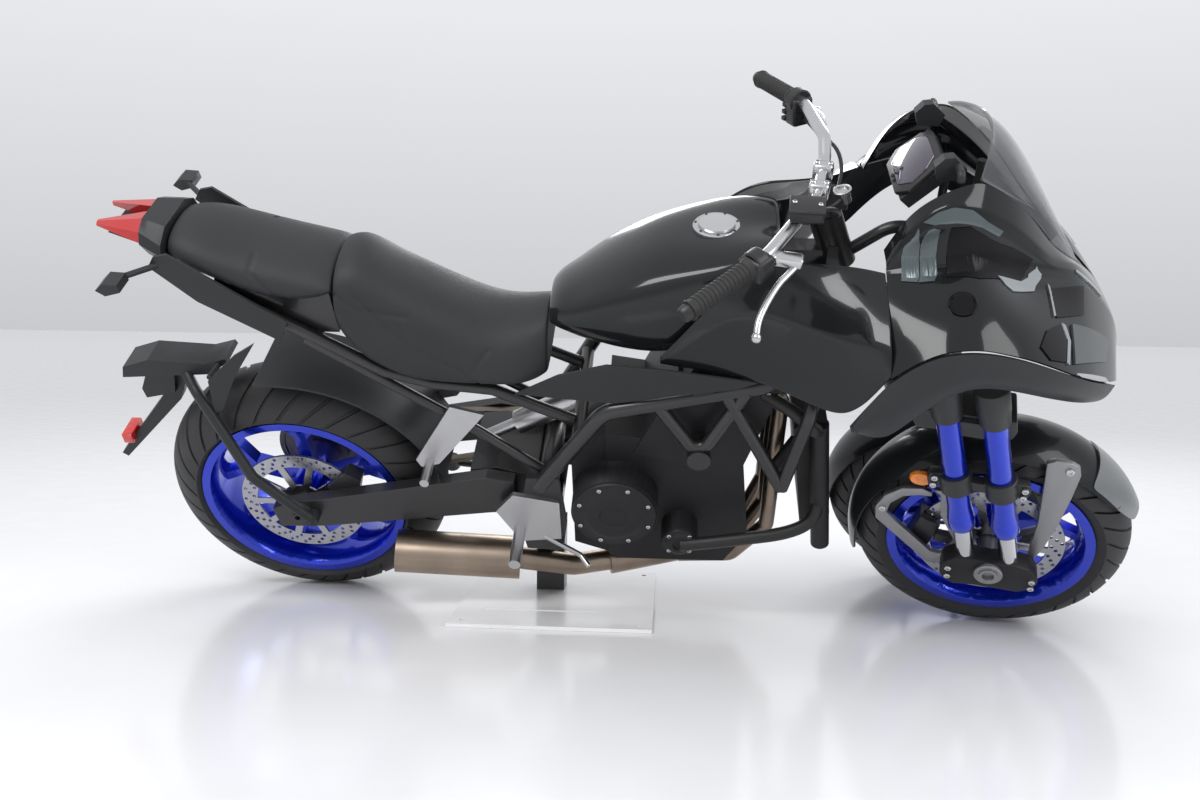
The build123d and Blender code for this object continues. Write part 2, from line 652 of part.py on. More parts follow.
# Plate holder: an arm from the swingarm's right end with a slim mudguard, a side fin and the plate's bracket
with BuildPart() as plate_holder:
    tube([(40, RIGHT * 152, 330), (-70, RIGHT * 150, 455), (-175, RIGHT * 75, 628), (-232, 0, 652)], 12, 40)
    rod((40, RIGHT * (arm_side[RIGHT][1] + seat_gap), 330), (40, RIGHT * 160, 330), 14)
    plate([(-352, 636), (-344, 664), (-284, 684), (-160, 676), (-112, 690), (-108, 680), (-160, 648),
           (-284, 640)], -36, 36)
    plate([(-300, 645), (-236, 650), (-250, 590), (-318, 575), (-322, 600)], -30, 30)
    plate([(-262, 600), (-236, 640), (-216, 632), (-250, 560), (-424, 384), (-436, 394)], -14, 14)
    rod((-128, RIGHT * 30, 674), (-128, RIGHT * 92, 684), 6)
    plate([(-12, 774), (-62, 742), (-133, 675), (-139, 585), (-120, 596), (-72, 688)], RIGHT * 94, RIGHT * 88)
keep("plate_holder", plate_holder.part)

hugger_gap = 28
tab_angle = 14.5
with BuildPart() as hugger:
    hugger_in = rear_wheel_r + hugger_gap
    with BuildSketch(Plane.XZ.offset(-100)):
        with BuildLine():
            low = (hugger_in * cos(radians(14)), rear_axle_z + hugger_in * sin(radians(14)))
            midp = (hugger_in * cos(radians(55)), rear_axle_z + hugger_in * sin(radians(55)))
            high = (hugger_in * cos(radians(96)), rear_axle_z + hugger_in * sin(radians(96)))
            ThreePointArc(low, midp, high)
            offset(amount=3, side=Side.BOTH)
        make_face()
    extrude(amount=200)
    # Tabs that reach the two arms
    tab_x = hugger_in * cos(radians(tab_angle))
    tab_z = rear_axle_z + hugger_in * sin(radians(tab_angle))
    for side, (y_near, y_far) in arm_side.items():
        rod((tab_x, side * 96, tab_z), (tab_x, side * (y_near - seat_gap), tab_z), 9)
keep("hugger", hugger.part)

# Dark side panels under the seat's front and the tank


def rail_top(x):
    """The height of the top of the frame's side rail at x, between its two upper bends."""
    (x_back, z_back), (x_front, z_front) = rail_back, rail_front
    slope = (z_front - z_back) / (x_front - x_back)
    return z_back + slope * (x - x_back) + rail_r * (1 + slope ** 2) ** 0.5


panel_t = 6
panel_back = Vector(526, 160, 0)
panel_run = 482
panel_flare = 42
with BuildPart() as side_panels:
    for side in (RIGHT, LEFT):
        panel_plane = Plane(origin=(panel_back.X, side * panel_back.Y, 0), x_dir=(panel_run, side * panel_flare, 0),
                            z_dir=(side * panel_flare, -panel_run, 0))
        with BuildSketch(panel_plane):
            with BuildLine():
                Polyline((0, 711), (90, 766), (186, 799), (300, 797), (478, 783), (440, 764), (300, 732),
                         (200, 706), (100, 708), close=True)
            make_face()
        extrude(amount=panel_t / 2, both=True)
        # The tab that stands on the frame's rail
        plate([(880, rail_top(880) + seat_gap), (920, rail_top(920) + seat_gap), (920, 772), (880, 764)],
              min(side * 168, side * 193), max(side * 168, side * 193))
keep("side_panels", side_panels.part)

# Arch bands over the front wheels: the side outline of a curved wall
BandCorner = namedtuple("BandCorner", "x half_w z_top")
band_t = 18
band_corners = [BandCorner(1150, 366, 819), BandCorner(1207, 372, 924), BandCorner(1283, 378, 985),
                BandCorner(1348, 378, 992), BandCorner(1432, 372, 968), BandCorner(1519, 345, 917),
                BandCorner(1585, 294, 866), BandCorner(1644, 225, 812)]
band_low = [(1604, 790), (1565, 818), (1482, 871), (1395, 908), (1327, 912), (1260, 843), (1213, 786), (1160, 798)]


def on_band(x):
    """The band's outer half-width and upper edge at x."""
    for back, front in zip(band_corners, band_corners[1:]):
        if back.x <= x <= front.x:
            share = (x - back.x) / (front.x - back.x)
            return (back.half_w + share * (front.half_w - back.half_w),
                    back.z_top + share * (front.z_top - back.z_top))


with BuildPart() as bands:
    for side in (RIGHT, LEFT):
        outer = [(corner.x, side * corner.half_w) for corner in band_corners]
        inner = [(corner.x, side * (corner.half_w - band_t)) for corner in reversed(band_corners)]
        with BuildSketch(Plane.XY.offset(760)) as wall:
            with BuildLine():
                Polyline(*(outer + inner), close=True)
            make_face()
        extrude(wall.sketch, amount=260)
    with BuildSketch(Plane.XZ.offset(-400)) as outline:
        with BuildLine():
            Polyline(*([(corner.x, corner.z_top) for corner in band_corners] + band_low), close=True)
        make_face()
    extrude(outline.sketch, amount=800, mode=Mode.INTERSECT)
keep("arch_bands", bands.part)

# Windscreen: its lower edge on each side is also the cowl's inner edge
screen_t = 5
Screen = namedtuple("Screen", "x edge_w edge_z mid_w mid_z top_w top_z")
screen_table = [Screen(1352, 155, 1186, 120, 1202, 55, 1226), Screen(1425, 128, 1132, 102, 1182, 46, 1200),
                Screen(1480, 100, 1072, 80, 1114, 38, 1128), Screen(1519, 86, 1022, 66, 1056, 34, 1067),
                Screen(1560, 58, 984, 46, 998, 26, 1003), Screen(1592, 30, 951, 22, 954, 12, 956)]
screen_back = [(1340, -170), (1356, -155), (1396, -90), (1425, 0), (1396, 90), (1356, 155), (1340, 170),
               (1300, 170), (1300, -170)]


def screen_loft(rows, mode=Mode.ADD):
    """Lofts the screen's arched sections."""
    sections = [section_sketch(r.x, [(-r.edge_w, r.edge_z), (-r.mid_w, r.mid_z), (-r.top_w, r.top_z),
                                     (r.top_w, r.top_z), (r.mid_w, r.mid_z), (r.edge_w, r.edge_z)])
                for r in rows]
    loft(sections, ruled=True, mode=mode)


with BuildPart() as windscreen:
    screen_loft(screen_table)
    inside = [r._replace(edge_z=r.edge_z - 20, edge_w=r.edge_w - screen_t, mid_w=r.mid_w - screen_t,
                         mid_z=r.mid_z - screen_t, top_w=r.top_w - screen_t / 2, top_z=r.top_z - screen_t)
              for r in screen_table]
    inside[0] = inside[0]._replace(x=inside[0].x - 1)
    inside[-1] = inside[-1]._replace(x=inside[-1].x - screen_t)
    screen_loft(inside, mode=Mode.SUBTRACT)
    with BuildSketch(Plane.XY.offset(1000)) as behind:
        with BuildLine():
            Polyline(*screen_back, close=True)
        make_face()
    extrude(behind.sketch, amount=300, mode=Mode.SUBTRACT)
keep("windscreen", windscreen.part)

# Front cowl: from the bands' upper edges up to the ridge, the upper panels and the screen's edge
shell_t = 6
cockpit_half = 138
Crown = namedtuple("Crown", "x ridge_w ridge_z mid_w mid_z top_w top_z inner_w inner_z")
crowns = [
    Crown(1207, 198, 1028, 194, 1036, 186, 1042, 150, 1046),
    Crown(1250, 212, 1036, 202, 1096, 184, 1126, 162, 1136),
    Crown(1283, 225, 1041, 204, 1128, 190, 1155, 166, 1164),
    Crown(1348, 240, 1053, 204, 1128, 186, 1149, 157, 1188),
    Crown(1432, 212, 1008, 172, 1055, 156, 1095, 124.5, 1124),
    Crown(1519, 168, 978, 140, 992, 116, 1003, 86, 1021.7),
    Crown(1585, 120, 960, 100, 965, 70, 966, 36, 957.5),
    Crown(1644, 95, 895, 80, 900, 55, 902, 24, 903),
]
nose_x = 1694
nose_low = (100, 740)


def cowl_outline(crown, low_w, low_z):
    """The right and left half of a cowl section as (y, z) points."""
    half = [(low_w, low_z), (crown.ridge_w, crown.ridge_z), (crown.mid_w, crown.mid_z),
            (crown.top_w, crown.top_z), (crown.inner_w, crown.inner_z)]
    return [(-w, z) for w, z in half] + [(w, z) for w, z in reversed(half)]


def screen_edge(x):
    """The screen's lower edge (half-width, height) at x."""
    for back, front in zip(screen_table, screen_table[1:]):
        if back.x <= x <= front.x:
            share = (x - back.x) / (front.x - back.x)
            return (back.edge_w + share * (front.edge_w - back.edge_w),
                    back.edge_z + share * (front.edge_z - back.edge_z))


def cowl_rows():
    """The cowl's sections, with the screen's edge as their inner edge where the screen stands."""
    rows = []
    for crown in crowns:
        edge = screen_edge(crown.x)
        if edge:
            crown = crown._replace(inner_w=edge[0], inner_z=edge[1] - seat_gap)
        half_w, z_top = on_band(crown.x)
        rows.append((crown, half_w - band_t / 2, z_top + seat_gap))
    for row in screen_table[1:]:
        if all(abs(row.x - crown.x) > 1 for crown in crowns):
            back = max((c for c in crowns if c.x < row.x), key=lambda c: c.x)
            front = min((c for c in crowns if c.x > row.x), key=lambda c: c.x)
            share = (row.x - back.x) / (front.x - back.x)
            values = [b + share * (f - b) for b, f in zip(back, front)]
            crown = Crown(*values)._replace(inner_w=row.edge_w, inner_z=row.edge_z - seat_gap)
            half_w, z_top = on_band(row.x)
            rows.append((crown, half_w - band_t / 2, z_top + seat_gap))
    return sorted(rows, key=lambda row: row[0].x)


def thinner(crown):
    """The same section, one wall thickness further in."""
    return crown._replace(ridge_w=crown.ridge_w - shell_t, ridge_z=crown.ridge_z - shell_t / 2,
                          mid_w=crown.mid_w - shell_t, mid_z=crown.mid_z - shell_t / 2,
                          top_w=crown.top_w - shell_t, top_z=crown.top_z - shell_t,
                          inner_w=crown.inner_w - shell_t / 2, inner_z=crown.inner_z - shell_t)


rows = cowl_rows()
nose = Crown(nose_x, 70, 805, 60, 812, 42, 815, 18, 816)
with BuildPart() as cowl:
    sections = [section_sketch(c.x, cowl_outline(c, w, z)) for c, w, z in rows]
    sections.append(section_sketch(nose_x, cowl_outline(nose, *nose_low)))
    loft(sections, ruled=True)
    hollow = [section_sketch(c.x, cowl_outline(thinner(c), w - shell_t, z - 30)) for c, w, z in rows]
    first, first_w, first_z = rows[0]
    hollow[0] = section_sketch(first.x - 1, cowl_outline(thinner(first), first_w - shell_t, first_z - 30))
    hollow.append(section_sketch(nose_x - shell_t, cowl_outline(thinner(nose), nose_low[0] - shell_t,
                                                                nose_low[1] - 30)))
    loft(hollow, ruled=True, mode=Mode.SUBTRACT)
    # The cockpit is open at the back, where the instruments stand
    plate([(1190, 940), (1334, 940), (1334, 1240), (1190, 1240)], -cockpit_half, cockpit_half,
          mode=Mode.SUBTRACT)
keep("front_cowl", cowl.part)


def cowl_top(x):
    """The height of the cowl's deck at x, between its sections."""
    for (back, _, _), (front, _, _) in zip(rows, rows[1:]):
        if back.x <= x <= front.x:
            share = (x - back.x) / (front.x - back.x)
            return back.inner_z + share * (front.inner_z - back.inner_z)


# Side fairings: bent panels from the tank's sides to the cowl's rear edge
fairing_t = 6
Flank = namedtuple("Flank", "x upper_w upper_z crease_w crease_z low_w low_z")
cowl_back = rows[0]
flank_front = Flank(cowl_back[0].x - seat_gap, cowl_back[0].ridge_w, cowl_back[0].ridge_z - 1,
                    0.5 * (cowl_back[0].ridge_w + cowl_back[1]) + 6,
                    0.5 * (cowl_back[0].ridge_z + cowl_back[2]) + 4, cowl_back[1] - 2, cowl_back[2] + 5)
flank_rows = [Flank(815, 165, 808, 166, 803, 166, 797), Flank(880, 176, 904, 178, 860, 175, 793),
              Flank(935, 168, 968, 185, 948, 183, 790), Flank(1000, 152, 1017, 200, 944, 202, 788),
              Flank(1062, 152, 1019, 218, 940, 236, 781), Flank(1150, 168, 1022, 282, 946, 318, 802),
              flank_front]
with BuildPart() as flanks:
    for side in (RIGHT, LEFT):
        sections = [section_sketch(f.x, [(side * f.upper_w, f.upper_z), (side * f.crease_w, f.crease_z),
                                         (side * f.low_w, f.low_z), (side * (f.low_w - fairing_t), f.low_z),
                                         (side * (f.crease_w - fairing_t), f.crease_z - 3),
                                         (side * (f.upper_w - fairing_t), f.upper_z - 4)])
                    for f in flank_rows]
        loft(sections, ruled=True)
        # The rubber-ended lug that rests on the tank's side
        rod((tank_boss_x, side * (tank_side_w + seat_gap), tank_boss_z),
            (tank_boss_x, side * 180, tank_boss_z), 7)
keep("side_fairings", flanks.part)

with BuildPart() as headlights:
    for side in (RIGHT, LEFT):
        rod((1575, side * 82, 838), (1640, side * 82, 828), 34)
    plate([(1566, 800), (1630, 786), (1630, 856), (1566, 866)], -60, 60)
keep("headlights", headlights.part)

with BuildPart() as dash:
    plate([(1238, 1104), (1256, 1088), (1322, 1152), (1304, 1170)], -76, 76)
    rod((1290, 0, 1128), (dash_post_x - post_r - seat_gap, 0, 1128), 8)
keep("dash", dash.part)

mirror_stem_x = 1318
with BuildPart() as mirrors:
    for side in (RIGHT, LEFT):
        stem_foot = cowl_top(mirror_stem_x + 7) + seat_gap
        tube([(mirror_stem_x, side * 149, stem_foot), (mirror_stem_x, side * 149, 1192),
              (mirror_stem_x, side * 106, 1192)], 7, 9)
        plate([(1279, 1190), (1293, 1206), (1310, 1208), (1334, 1186), (1326, 1164), (1286, 1166)],
              min(side * 96, side * 118), max(side * 96, side * 118))
keep("mirrors", mirrors.part)

# Foot controls: plates with pegs, and the passenger's pegs on their hangers
with BuildPart() as footrests:
    for side in (RIGHT, LEFT):
        plate([(500, 430), (600, 410), (600, 300), (510, 290), (460, 380)],
              min(side * plate_out, side * (plate_out + 12)), max(side * plate_out, side * (plate_out + 12)))
        rod((510, side * (plate_out + 12), 330), (510, side * (plate_out + 120), 330), 13)
        tube([(560, side * (plate_out + 8), 306), (640, side * (plate_out + 12), 250),
              (660, side * (plate_out + 36), 240)], 6, 12)
        plate([(300, 470), (340, 480), (450, 620), (380, 640), (290, 490)],
              min(side * 113, side * 121), max(side * 113, side * 121))
        rod((395, side * 110.7, 584.4), (395, side * 115, 584.4), 10)
        rod((320, side * 121, 486), (320, side * 190, 486), 10)
keep("footrests", footrests.part)

# Handlebar and its controls, turned with the forks
bar_r = 12
clamp_z = 1103
bar_run = [(937, 405, 1085), (1045, 262, 1112), (1098, 118, 1125), (bar_head.X, 66, clamp_z)]
bare_half = 30
with BuildPart() as handlebar:
    rod(on_bar_axis(157), on_bar_axis(-4), stem_r)
    rod(on_bar_axis(24), on_bar_axis(-8), 46)
    rod((bar_head.X, -bare_half, clamp_z), (bar_head.X, bare_half, clamp_z), bar_r)
    for side in (RIGHT, LEFT):
        rod((bar_head.X, side * 34, 1067), (bar_head.X, side * 34, clamp_z), 15)
        tube([(x, side * y, z) for x, y, z in bar_run] + [(bar_head.X, side * bare_half, clamp_z)], bar_r, 24)
keep("handlebar", handlebar.part.rotate(Axis(tuple(bar_head), tuple(bar_dir)), -steer))

with BuildPart() as controls:
    for side in (RIGHT, LEFT):
        end = Vector(bar_run[0][0], side * bar_run[0][1], bar_run[0][2])
        inner_end = Vector(bar_run[1][0], side * bar_run[1][1], bar_run[1][2])
        run = (end - inner_end).normalized()
        rod(tuple(inner_end + run * 34), tuple(end + run * 12), 17)
        rod(tuple(inner_end + run * 14), tuple(inner_end + run * 36), 25)
        tube([tuple(inner_end + run * 36 + Vector(18, 0, 0)), tuple(inner_end + Vector(60, 0, -4) + run * 52),
              tuple(end + Vector(80, side * -18, -24))], 6, 20)
        rod(tuple(inner_end), tuple(end + run * 2), bar_r, mode=Mode.SUBTRACT)
keep("controls", controls.part.rotate(Axis(tuple(bar_head), tuple(bar_dir)), -steer))

# Side stand on the left, folded back
stand_x = 566
stand_z = 210
with BuildPart() as side_stand:
    rod((stand_x, plate_out + seat_gap, stand_z), (stand_x, plate_out + 18, stand_z), 16)
    tube([(stand_x, plate_out + 12, stand_z), (420, plate_out + 22, 200), (290, plate_out + 24, 215)], 9, 40)
    rod((290, plate_out + 24, 200), (290, plate_out + 24, 230), 18)
keep("side_stand", side_stand.part)

# The display column, upright on the floor and bolted under the frame, with its foot plate.
# It is drawn where it stands and turned back into the upright frame, like the rest.
column_x = 556
column_y = -85
column_w = 66
foot_t = 8
foot_x = 440
foot_y = 520
bolt_x = 380
bolt_y = 460
bolt_hole_r = 6.5
with BuildPart() as column:
    with BuildSketch(Plane.XY):
        with Locations((column_x + 30, column_y - 90)):
            Rectangle(foot_x, foot_y)
            with GridLocations(bolt_x, bolt_y, 2, 2):
                Circle(bolt_hole_r, mode=Mode.SUBTRACT)
    extrude(amount=foot_t)
    with BuildSketch(Plane.XY.offset(foot_t)):
        with Locations((column_x, column_y)):
            Rectangle(column_w, column_w)
    extrude(amount=250)
stance = Location((0, 0, lift), (lean, 0, 0))
with BuildPart() as display_column:
    add(column.part.moved(stance.inverse()))
    with BuildSketch(Plane.XY.offset(cross_z)):
        with Locations((column_x, 0)):
            Rectangle(4 * column_w, 8 * column_w)
    extrude(amount=300, mode=Mode.SUBTRACT)
keep("display_column", display_column.part)

# Lean every piece to the right, and put the origin under the middle of the whole object
leaned = {node: shape.moved(stance) for node, shape in pieces.items()}
boxes = [shape.bounding_box() for shape in leaned.values()]
centre_x = 0.5 * (min(box.min.X for box in boxes) + max(box.max.X for box in boxes))
centre_y = 0.5 * (min(box.min.Y for box in boxes) + max(box.max.Y for box in boxes))
floor_z = min(box.min.Z for box in boxes)
floor = Location((-centre_x, -centre_y, -floor_z))
os.makedirs("parts", exist_ok=True)
for node, shape in leaned.items():
    placed = shape.moved(floor)
    placed.label = node
    export_step(placed, f"parts/{node}.step")
print("origin shift", round(centre_x, 3), round(centre_y, 3), round(floor_z, 3))
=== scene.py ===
"""Looks of a motorized trike: a motorcycle with two leaning front wheels, held on its display column.

The steel frame, engine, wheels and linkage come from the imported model. This script dresses them, and adds
the painted bodywork, seats, lamps, forks, tyres and cockpit in the order in which the machine goes together.
Sizes are in millimetres of the upright machine: X forward from the rear axle, Y left, Z up from the ground.
"""
import json
import math
import bpy
import bmesh
from mathutils import Matrix, Vector


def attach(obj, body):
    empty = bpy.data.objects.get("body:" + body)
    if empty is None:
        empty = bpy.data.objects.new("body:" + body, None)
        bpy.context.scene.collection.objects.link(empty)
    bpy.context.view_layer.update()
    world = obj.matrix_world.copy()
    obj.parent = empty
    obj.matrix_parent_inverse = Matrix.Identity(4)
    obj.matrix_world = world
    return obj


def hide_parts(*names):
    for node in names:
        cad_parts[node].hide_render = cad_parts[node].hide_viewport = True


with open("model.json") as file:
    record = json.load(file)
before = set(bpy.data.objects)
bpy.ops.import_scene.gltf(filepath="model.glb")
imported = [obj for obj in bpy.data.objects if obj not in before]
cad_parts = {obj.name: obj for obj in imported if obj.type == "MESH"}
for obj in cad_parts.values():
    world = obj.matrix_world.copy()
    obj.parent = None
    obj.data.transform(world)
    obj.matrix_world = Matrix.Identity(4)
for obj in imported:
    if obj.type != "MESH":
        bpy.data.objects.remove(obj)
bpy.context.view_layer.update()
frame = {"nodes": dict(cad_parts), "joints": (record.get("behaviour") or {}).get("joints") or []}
nodes = frame["nodes"]
joint_at = {j["name"]: Vector(j["pos_m"]) for j in frame["joints"]}
RIGHT = -1
LEFT = 1
SIDE_NAME = {RIGHT: "right", LEFT: "left"}

# Stance: the machine leans 35 degrees to its right about the rear tyre's patch.
# Every piece below is drawn upright and then leaned with this matrix.
LEAN = math.radians(35)
REAR_AXLE_HEIGHT = 0.3205
lean_turn = Matrix.Rotation(LEAN, 4, "X")
rear_hub = joint_at["roll_rear"]
stance = Matrix.Translation(rear_hub - lean_turn @ Vector((0, 0, REAR_AXLE_HEIGHT))) @ lean_turn

# Camera: the photograph's place, low on the right side
PHOTO_CAMERA = Vector((0.8396562, -2.5462152, 0.3853897))
CAMERA_TURN = 0.0652545
CAMERA_TIP = -0.0758075
CAMERA_ROLL = 0.0137826
bpy.ops.object.camera_add()
camera = bpy.context.object
camera.name = "photo_camera"
camera.data.lens = 33.33
camera.data.sensor_width = 36
camera.data.clip_start = 0.05
camera.matrix_world = (Matrix.Translation(rear_hub + PHOTO_CAMERA) @ Matrix.Rotation(CAMERA_TURN, 4, "Z")
                       @ Matrix.Rotation(math.pi / 2 + CAMERA_TIP, 4, "X")
                       @ Matrix.Rotation(CAMERA_ROLL, 4, "Z"))
bpy.context.scene.camera = camera
bpy.context.scene.view_settings.view_transform = "Standard"

# Shared finish: a slow change of shade, hand smudges in the gloss and a fine grain.
# One node group, placed in each material with that material's own values.
surface = bpy.data.node_groups.new("surface", "ShaderNodeTree")
surface.interface.new_socket("Color", in_out="INPUT", socket_type="NodeSocketColor")
for socket_name in ("Shade", "Shade size", "Roughness", "Smudge", "Grain", "Grain size"):
    surface.interface.new_socket(socket_name, in_out="INPUT", socket_type="NodeSocketFloat")
surface.interface.new_socket("Color", in_out="OUTPUT", socket_type="NodeSocketColor")
surface.interface.new_socket("Roughness", in_out="OUTPUT", socket_type="NodeSocketFloat")
surface.interface.new_socket("Normal", in_out="OUTPUT", socket_type="NodeSocketVector")
given = surface.nodes.new("NodeGroupInput")
result = surface.nodes.new("NodeGroupOutput")
where = surface.nodes.new("ShaderNodeTexCoord")
SMUDGE_SIZE = 11
GRAIN_HEIGHT = 0.001
COAT_ROUGHNESS = 0.05


def feed(socket, value):
    """Gives a socket in the surface group a link or a plain number."""
    if isinstance(value, (int, float)):
        socket.default_value = value
    else:
        surface.links.new(value, socket)


def group_math(operation, first, second):
    """A math node in the surface group."""
    node = surface.nodes.new("ShaderNodeMath")
    node.operation = operation
    feed(node.inputs[0], first)
    feed(node.inputs[1], second)
    return node.outputs[0]


def group_noise(scale, detail):
    """A noise in the surface group over the piece's own place."""
    node = surface.nodes.new("ShaderNodeTexNoise")
    node.inputs["Detail"].default_value = detail
    surface.links.new(where.outputs["Object"], node.inputs["Vector"])
    feed(node.inputs["Scale"], scale)
    return node.outputs["Fac"]


def group_spread(noise, amount):
    """Noise turned into a value from minus to plus the amount."""
    return group_math("MULTIPLY", group_math("SUBTRACT", group_math("MULTIPLY", noise, 4), 2), amount)


shade_noise = group_noise(given.outputs["Shade size"], 3)
shade = group_math("ADD", group_spread(shade_noise, given.outputs["Shade"]), 1)
tint = surface.nodes.new("ShaderNodeVectorMath")
tint.operation = "SCALE"
surface.links.new(given.outputs["Color"], tint.inputs[0])
surface.links.new(shade, tint.inputs["Scale"])
surface.links.new(tint.outputs[0], result.inputs["Color"])
smudge = group_spread(group_noise(SMUDGE_SIZE, 4), given.outputs["Smudge"])
surface.links.new(group_math("ADD", smudge, given.outputs["Roughness"]), result.inputs["Roughness"])
bump = surface.nodes.new("ShaderNodeBump")
bump.inputs["Distance"].default_value = GRAIN_HEIGHT
surface.links.new(given.outputs["Grain"], bump.inputs["Strength"])
surface.links.new(group_noise(given.outputs["Grain size"], 2), bump.inputs["Height"])
surface.links.new(bump.outputs["Normal"], result.inputs["Normal"])


def finish(name, color, rough, metal=0.0, coat=0.0, specular=0.5, shade=0.05, shade_size=7.0, smudge=0.05,
           grain=0.0, grain_size=400.0, alpha=1.0):
    """A material with the surface group's slow changes round one colour and roughness."""
    made = bpy.data.materials.new(name)
    made.use_nodes = True
    tree = made.node_tree
    shader = tree.nodes["Principled BSDF"]
    for socket_name, value in (("Metallic", metal), ("Specular IOR Level", specular), ("Coat Weight", coat),
                               ("Coat Roughness", COAT_ROUGHNESS), ("Alpha", alpha)):
        shader.inputs[socket_name].default_value = value
    group = tree.nodes.new("ShaderNodeGroup")
    group.node_tree = surface
    values = {"Color": (*color, 1), "Shade": shade, "Shade size": shade_size, "Roughness": rough,
              "Smudge": smudge, "Grain": grain, "Grain size": grain_size}
    for socket_name, value in values.items():
        group.inputs[socket_name].default_value = value
    tree.links.new(group.outputs["Color"], shader.inputs["Base Color"])
    tree.links.new(group.outputs["Roughness"], shader.inputs["Roughness"])
    if grain:
        tree.links.new(group.outputs["Normal"], shader.inputs["Normal"])
    return made


def dress(obj, look):
    """Gives a piece one material."""
    obj.data.materials.clear()
    obj.data.materials.append(look)


def dress_nodes(look, *names):
    """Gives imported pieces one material."""
    for name in names:
        dress(nodes[name], look)


# Display column: a square black post under the belly, on a white foot plate in the stage floor.
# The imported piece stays; its plate's faces near the floor are white.
FOOT_TOP = 0.009
column = nodes["display_column"]
dress(column, finish("column_black", (0.012, 0.012, 0.013), 0.34, coat=0.3))
column.data.materials.append(finish("stage_white", (0.78, 0.78, 0.79), 0.22, coat=0.3))
for face in column.data.polygons:
    face.material_index = 1 if face.center.z < FOOT_TOP else 0

# Floor: the glossy white stage
FLOOR_SIZE = 60
FLOOR_Z = -0.0005
bpy.ops.mesh.primitive_plane_add(size=FLOOR_SIZE, location=(0, 0, FLOOR_Z))
floor = bpy.context.object
floor.name = "floor"
dress(floor, finish("floor_white", (0.80, 0.80, 0.81), 0.16, smudge=0.03, shade=0.01))

# Frame: black painted steel tubes, welded, with the rear subframe bolted on behind them.
# The imported pieces stay; the swingarm's cut edges are broken with a small live bevel.
MERGE = 0.00002
FINE_MERGE = 0.00001


def break_edges(width, *names):
    """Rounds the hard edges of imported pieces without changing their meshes."""
    for name in names:
        weld = nodes[name].modifiers.new("weld", "WELD")
        weld.merge_threshold = MERGE
        flatten = nodes[name].modifiers.new("flatten", "DECIMATE")
        flatten.decimate_type = "DISSOLVE"
        flatten.angle_limit = math.radians(1)
        bevel = nodes[name].modifiers.new("bevel", "BEVEL")
        bevel.width = width
        bevel.segments = 2
        bevel.limit_method = "ANGLE"
        bevel.angle_limit = math.radians(35)
        bevel.harden_normals = True


paint_black = finish("paint_black", (0.016, 0.016, 0.017), 0.36, coat=0.25, grain=0.06, grain_size=900)
dress_nodes(paint_black, "frame", "subframe", "side_stand", "swingarm")
break_edges(0.003, "swingarm")

# Engine, radiator and exhaust: dark cast cases, a black radiator and a heat-tinted silencer
cast_black = finish("cast_black", (0.020, 0.020, 0.022), 0.46, metal=0.3, specular=0.35, grain=0.25,
                    grain_size=330)
dress_nodes(cast_black, "engine", "arm_upper", "arm_lower", "head_right", "head_left")
break_edges(0.004, "engine")
dress_nodes(finish("radiator_black", (0.012, 0.012, 0.013), 0.5, metal=0.2, grain=0.3, grain_size=700),
            "radiator")
dress_nodes(finish("exhaust_tint", (0.30, 0.24, 0.19), 0.34, metal=1.0, shade=0.25, shade_size=9), "exhaust")
dress_nodes(finish("chain_oiled", (0.20, 0.18, 0.15), 0.42, metal=1.0, grain=0.2), "chain", "sprocket_rear")
satin_alloy = finish("satin_alloy", (0.55, 0.55, 0.56), 0.32, metal=1.0, grain=0.04)
dress_nodes(satin_alloy, "rear_shock", "footrests")

# Tyres: radial road tyres, their tread cut with swept grooves on each side in turn.
# Each is one grid rolled into a ring whose rows follow the grooves.
MM = 0.001
STEER = math.radians(11.6)
FRONT_HUB_HALF_TRACK = 167.93
FRONT_RISE = 117.58
FRONT_HUB_X = 1510.0
FRONT_HUB_Z = 266.8
STEER_FOOT_X = -25.91
RAKE = math.radians(20)
rear_place = stance @ Matrix.Translation((0, 0, REAR_AXLE_HEIGHT))
steer_axis = Vector((-math.sin(RAKE), 0, math.cos(RAKE)))
steer_foot = Matrix.Translation((STEER_FOOT_X * MM, 0, 0))
steer_turn = steer_foot @ Matrix.Rotation(-STEER, 4, steer_axis) @ steer_foot.inverted()
fork_place = {}
for side in (RIGHT, LEFT):
    hub = Vector((FRONT_HUB_X, side * FRONT_HUB_HALF_TRACK, FRONT_HUB_Z - side * FRONT_RISE)) * MM
    fork_place[side] = stance @ Matrix.Translation(hub) @ steer_turn


def ride_piece(obj, body, look, replaced=(), place=stance):
    """Moves a finished piece's mesh to its place, gives it its material and hangs it on its body."""
    obj.data.transform(place)
    obj.data.update()
    dress(obj, look)
    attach(obj, body)
    if replaced:
        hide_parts(*replaced)


def only(obj):
    """Selects one piece and nothing else."""
    bpy.ops.object.select_all(action="DESELECT")
    obj.select_set(True)
    bpy.context.view_layer.objects.active = obj


def apply_modifier(obj, kind, **settings):
    """Adds one modifier with these settings and applies it."""
    only(obj)
    modifier = obj.modifiers.new(kind.lower(), kind)
    for key, value in settings.items():
        setattr(modifier, key, value)
    bpy.ops.object.modifier_apply(modifier=modifier.name)


def shade_by_angle(obj, degrees):
    """Smooth shading that keeps real edges."""
    only(obj)
    bpy.ops.object.shade_smooth_by_angle(angle=math.radians(degrees))


def open_mesh(obj):
    """Opens a piece in edit mode with all of it selected."""
    only(obj)
    bpy.ops.object.mode_set(mode="EDIT")
    bpy.ops.mesh.select_mode(type="VERT")
    bpy.ops.mesh.select_all(action="SELECT")


def close_mesh():
    """Points every face outwards and leaves edit mode."""
    bpy.ops.mesh.select_all(action="SELECT")
    bpy.ops.mesh.normals_make_consistent(inside=False)
    bpy.ops.object.mode_set(mode="OBJECT")


